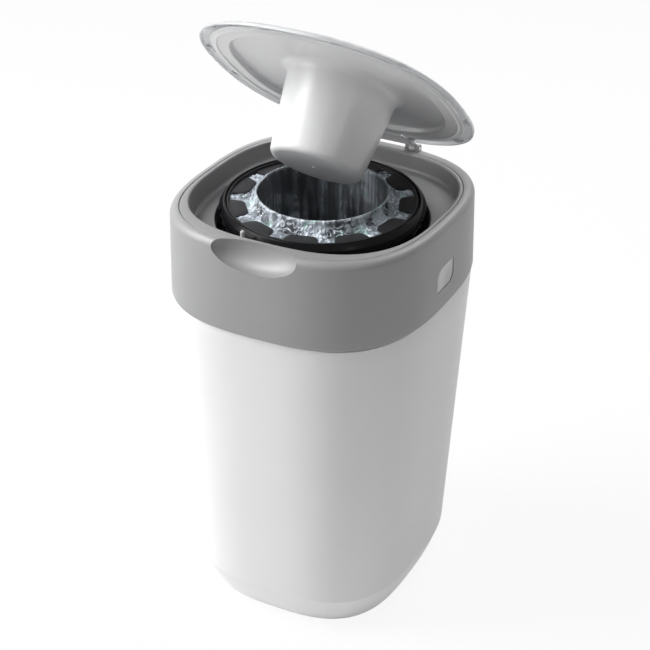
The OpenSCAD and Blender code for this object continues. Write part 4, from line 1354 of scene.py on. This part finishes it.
@dataclass
class Lid:
    """The lid: a clear cover, and a white liner with the plunger.

    Attributes:
        outline: Outline of the cover.
        edge: Height of the cover's lower edge when shut.
        edge_round: How far in the round along that edge reaches.
        crown: Height of the crown above that edge.
        cover_wall: Thickness of the cover.
        liner_wall: Thickness of the liner.
        catches: Number of catches inside the cover's skirt.
        catch: Lowest and highest corner of a catch, seen from its middle and the edge.
        flap: Lowest and highest corner of the cut for the hinge's flap.
        plunger: Radius at the plunger's root.
        tip: Radius at its tip.
        tip_round: Radius of the round along the tip.
        reach: Height of the plunger's tip when shut.
        pan: How far in the recessed pan starts.
        pan_end: Radius at which the pan ends.
        fillet: Radius between the pan and the plunger.
    """

    outline: Oval = Oval(0.1218, 0.124, 0.0, 2.51, -0.0126)
    edge: float = 0.4031
    edge_round: float = 0.006
    crown: float = 0.0156
    cover_wall: float = 0.0014
    liner_wall: float = 0.0014
    catches: int = 12
    catch: Tuple[Triple, Triple] = ((-0.0022, -0.0058, 0.0011), (0.0046, 0.0058, 0.0036))
    flap: Tuple[Triple, Triple] = ((-0.0322, 0.0994, 0.401), (0.0322, 0.127, 0.4069))
    plunger: float = 0.051
    tip: float = 0.043
    tip_round: float = 0.006
    reach: float = 0.330
    pan: float = 0.0292
    pan_end: float = 0.062
    fillet: float = 0.009

    def dome(self, d: float) -> float:
        """Return the height of the cover's outside at a distance d in from its edge."""
        f = min(1.0, d / self.outline.a)
        e = 1.0 - min(1.0, d / self.edge_round)
        return (self.edge + 0.002 + 0.0026 * math.sqrt(1 - e * e)
                + (self.crown - 0.0046) * (1 - (1 - f) ** 2))

    def build_cover(self) -> bpy.types.Object:
        """Model the clear cover: rounded edge, low dome, and catches inside its skirt."""
        oval, w, edge = self.outline, self.cover_wall, self.edge
        steps = [self.edge_round * (1 - math.cos(math.radians(9 * k))) for k in range(1, 11)]
        steps += [0.009 + 0.0045 * k for k in range(24)]
        sections: List[Section] = [oval.inset(d, self.dome(d) - w) for d in reversed(steps)
                                   if d > w]
        sections += oval.insets((w, edge + 0.002), (w, edge + 0.0003), (w - 0.0003, edge),
                                (0.0003, edge), (0.0, edge + 0.0003), (0.0, edge + 0.002))
        sections += [oval.inset(d, self.dome(d)) for d in steps]
        obj = loft("lid_cover_skin", sections)
        combine(obj, Cut.REMOVE, box("cut", *self.flap))
        join(obj, self.make_catches())
        SHAPE.opened(obj)
        return place(obj, Palette.clear, "lid", ["lid_cover"])

    def make_catches(self) -> List[bpy.types.Object]:
        """Return the catches moulded inside the cover's skirt."""
        made = []
        for k in range(self.catches):
            t = math.radians(360.0 / self.catches * (k + 0.5))
            at = self.outline.inset(0.006, 0.0).point(t)
            piece = box("catch", *self.catch, 0.0004)
            where = Matrix.Translation((at.x, at.y, self.edge))
            piece.data.transform(where @ Matrix.Rotation(t, 4, "Z"))
            made.append(piece)
        return made

    def flange_sections(self, flange: float, pan: float) -> List[Section]:
        """Return the liner's outlines underneath, from its edge to where the pan starts.

        Args:
            flange: Height of the flange.
            pan: Height of the pan.

        Returns:
            The outlines.
        """
        oval = self.outline
        made = oval.insets((0.009, flange + 0.0006), (0.0094, flange))
        for k in range(9):
            bead = 0.0009 * math.sin(math.pi * k / 8) ** 2
            made.append(oval.inset(0.0125 + 0.0035 * k / 8, flange - bead))
        made += oval.insets((0.0245, flange))
        quarter = arc(0.0, 90.0, 5)
        made += [oval.inset(0.0252 + 0.0012 * s, flange + 0.0012 * (1 - c)) for s, c in quarter]
        made += [oval.inset(0.0270 + 0.0022 * (1 - c), pan - 0.0022 * (1 - s))
                 for s, c in quarter]
        return made

    def pan_sections(self, pan: float, root_z: float) -> List[Section]:
        """Return the pan's outlines, from the lid's outline to a circle round the plunger.

        Args:
            pan: Height at which the pan starts.
            root_z: Height of the plunger's root.

        Returns:
            The outlines.
        """
        start, made = self.outline.inset(self.pan, pan), []
        for k in range(1, 13):
            f = k / 12
            a, b = (half + (self.pan_end - half) * f for half in (start.a, start.b))
            n = 2.0 + (start.n - 2.0) * (1 - f) ** 2
            y = start.y + (SHAPE.axis - start.y) * f
            z = pan + (root_z - 0.0002 - pan) * math.sin(math.pi / 2 * f)
            made.append(Oval(a, b, z, n, y))
        return made

    def plunger_sections(self, root_z: float) -> List[Section]:
        """Return the plunger's outlines, from the fillet at its root to its tip."""
        ring, r, reach, root = SHAPE.ring, self.tip_round, self.reach, self.plunger - 0.0006
        made: List[Section] = []
        for s, c in arc(0.0, 84.0, 10):
            made.append(ring(root + self.fillet * (1 - s), root_z - self.fillet * (1 - c)))
        start = root_z - 0.0105
        for k in range(1, 9):
            f = k / 8
            made.append(ring(root + (self.tip - root) * f, start + (reach + r - start) * f))
        for s, c in arc(0.0, 90.0, 8)[1:]:
            made.append(ring(self.tip - r * (1 - c), reach + r * (1 - s)))
        return made + SHAPE.rings((0.02, reach), (0.0022, reach), (0.0018, reach - 0.0006),
                                  (0.0008, reach - 0.0008))

    def build_liner(self) -> bpy.types.Object:
        """Model the liner: flange with a bead, recessed pan, fillet, plunger and tip."""
        w, reach, r = self.liner_wall, self.reach, self.tip_round
        flange, pan, root_z = (self.edge + rise for rise in (0.0008, 0.0056, 0.0086))
        inner = SHAPE.rings((0.002, reach + w), (self.tip - r, reach + w),
                            (self.tip - w, reach + r), (self.plunger - w, root_z - 0.008),
                            (self.plunger + 0.002, root_z + 0.0008),
                            (self.pan_end, root_z + w - 0.0002))
        inner += self.outline.insets((self.pan, pan + w), (0.0245, flange + w),
                                     (0.009, flange + w))
        under = self.flange_sections(flange, pan) + self.pan_sections(pan, root_z)
        obj = loft("lid_liner_skin", inner + under + self.plunger_sections(root_z))
        SHAPE.opened(obj)
        return place(obj, Palette.liner, "lid", ["lid_liner"])

    def build(self) -> None:
        """Build the lid's pieces."""
        self.build_cover()
        self.build_liner()
        carried("lid_hinge_arms", Palette.liner, "lid", 0.0003)
        carried("lid_screws", Palette.steel, "lid", 0.0001)


# ---------------------------------------------------------------- studio


@dataclass(frozen=True)
class SoftBox:
    """A soft studio lamp.

    Attributes:
        name: Name of the lamp.
        place: Where it stands.
        size: Width and height of its face.
        power: Power in watts.
        aim: Height on the bin that it is turned to.
    """

    name: str
    place: Triple
    size: Pair
    power: float
    aim: float = 0.25

    def build(self) -> None:
        """Add the lamp, turned towards the bin."""
        data = bpy.data.lights.new(self.name, "AREA")
        data.shape = "RECTANGLE"
        data.size, data.size_y = self.size
        data.energy = self.power
        lamp = bpy.data.objects.new(self.name, data)
        bpy.context.scene.collection.objects.link(lamp)
        aim = Vector((0.0, 0.0, self.aim)) - Vector(self.place)
        lamp.location = self.place
        lamp.rotation_euler = aim.to_track_quat("-Z", "Y").to_euler()


@dataclass
class Studio:
    """Pale floor, soft lamps, white surroundings and the camera.

    Attributes:
        azimuth: Camera's turn from the front towards +X, in degrees.
        elevation: Camera's height angle, in degrees.
        distance: Camera's distance from its target.
        target: Point that the camera looks at.
        sensor: Width of the camera's frame in millimetres.
        focal: Focal length in millimetres.
        paper: Grey level of the floor.
        floor_glow: Share of the floor's own light that reaches the bin.
        ambient: Strength of the surroundings' light on the bin.
        lamps: The studio's lamps.
    """

    azimuth: float = 27.127
    elevation: float = 30.728
    distance: float = 1.8208
    target: Triple = (0.00044, 0.00023, 0.26289)
    sensor: float = 36.0
    focal: float = 107.96
    paper: float = 0.9
    floor_glow: float = 0.12
    ambient: float = 0.03
    lamps: Tuple[SoftBox, ...] = field(default_factory=lambda: (
        SoftBox("key", (-1.22, -0.57, 1.86), (1.0, 1.3), 39.0),
        SoftBox("side", (-1.71, -0.99, 0.97), (1.0, 1.3), 21.0),
        SoftBox("back", (0.24, 1.33, 1.86), (1.0, 1.3), 23.0),
        SoftBox("edge", (-1.62, 1.13, 0.97), (1.0, 1.3), 3.0),
        SoftBox("glint_right", (1.5, -0.9, 1.5), (0.14, 0.5), 2.0),
        SoftBox("glint_front", (0.5, -1.8, 1.4), (0.5, 0.12), 1.2),
    ))

    @staticmethod
    def seen(graph: Graph) -> Socket:
        """Return 1 for camera, glossy and transmission rays, and else 0."""
        path = graph.add("LightPath")
        socket = path.outputs["Is Camera Ray"]
        for name in ("Is Glossy Ray", "Is Transmission Ray"):
            socket = graph.math("MAXIMUM", socket, path.outputs[name])
        return socket

    def build_floor(self) -> None:
        """Add the pale floor, which keeps the bin's shadow."""
        deselect_all()
        bpy.ops.mesh.primitive_plane_add(size=14.0, location=(0.0, 0.0, -0.0002))
        floor = bpy.context.object
        floor.name = "floor"
        mat = bpy.data.materials.new("floor_white")
        mat.use_nodes = True
        graph, link = Graph(mat.node_tree), mat.node_tree.links.new
        shader = mat.node_tree.nodes["Principled BSDF"]
        shader.inputs["Base Color"].default_value = (self.paper, self.paper, self.paper, 1.0)
        shader.inputs["Roughness"].default_value = 0.9
        shader.inputs["Specular IOR Level"].default_value = 0.1
        glow = graph.add("Emission").outputs["Emission"]
        share = graph.ramp(self.seen(graph), (0.0, 1.0), (self.floor_glow, self.paper))
        mix = graph.add("MixShader", fac=share, i1=shader.outputs["BSDF"], i2=glow)
        link(mix.outputs["Shader"], mat.node_tree.nodes["Material Output"].inputs["Surface"])
        floor.data.materials.append(mat)

    def build_world(self) -> None:
        """Make the surroundings white to the camera and a soft grey to the bin."""
        world = bpy.data.worlds.new("surroundings")
        bpy.context.scene.world = world
        world.use_nodes = True
        graph = Graph(world.node_tree)
        back = world.node_tree.nodes["Background"]
        level = graph.ramp(self.seen(graph), (0.0, 1.0), (self.ambient, 1.0))
        world.node_tree.links.new(level, back.inputs["Strength"])
        back.inputs["Color"].default_value = (1.0, 1.0, 1.0, 1.0)

    def build_camera(self) -> None:
        """Add the camera."""
        data = bpy.data.cameras.new("camera")
        data.lens = self.focal
        data.sensor_width = self.sensor
        data.clip_end = 50.0
        camera = bpy.data.objects.new("camera", data)
        bpy.context.scene.collection.objects.link(camera)
        az, el = math.radians(self.azimuth), math.radians(self.elevation)
        back = Vector((math.sin(az) * math.cos(el), -math.cos(az) * math.cos(el), math.sin(el)))
        camera.location = Vector(self.target) + back * self.distance
        camera.rotation_euler = back.to_track_quat("Z", "Y").to_euler()
        bpy.context.scene.camera = camera

    def build(self) -> None:
        """Build the whole studio."""
        bpy.context.scene.view_settings.view_transform = "Standard"
        self.build_floor()
        self.build_world()
        self.build_camera()
        for lamp in self.lamps:
            lamp.build()


def main() -> None:
    """Build the bin and its studio."""
    logging.basicConfig(level=logging.INFO, format="%(message)s")
    for part in (Studio(), Tub(), Head(), SideButtons(), Cassette(), Lid()):
        part.build()


if __name__ == "__main__":
    main()
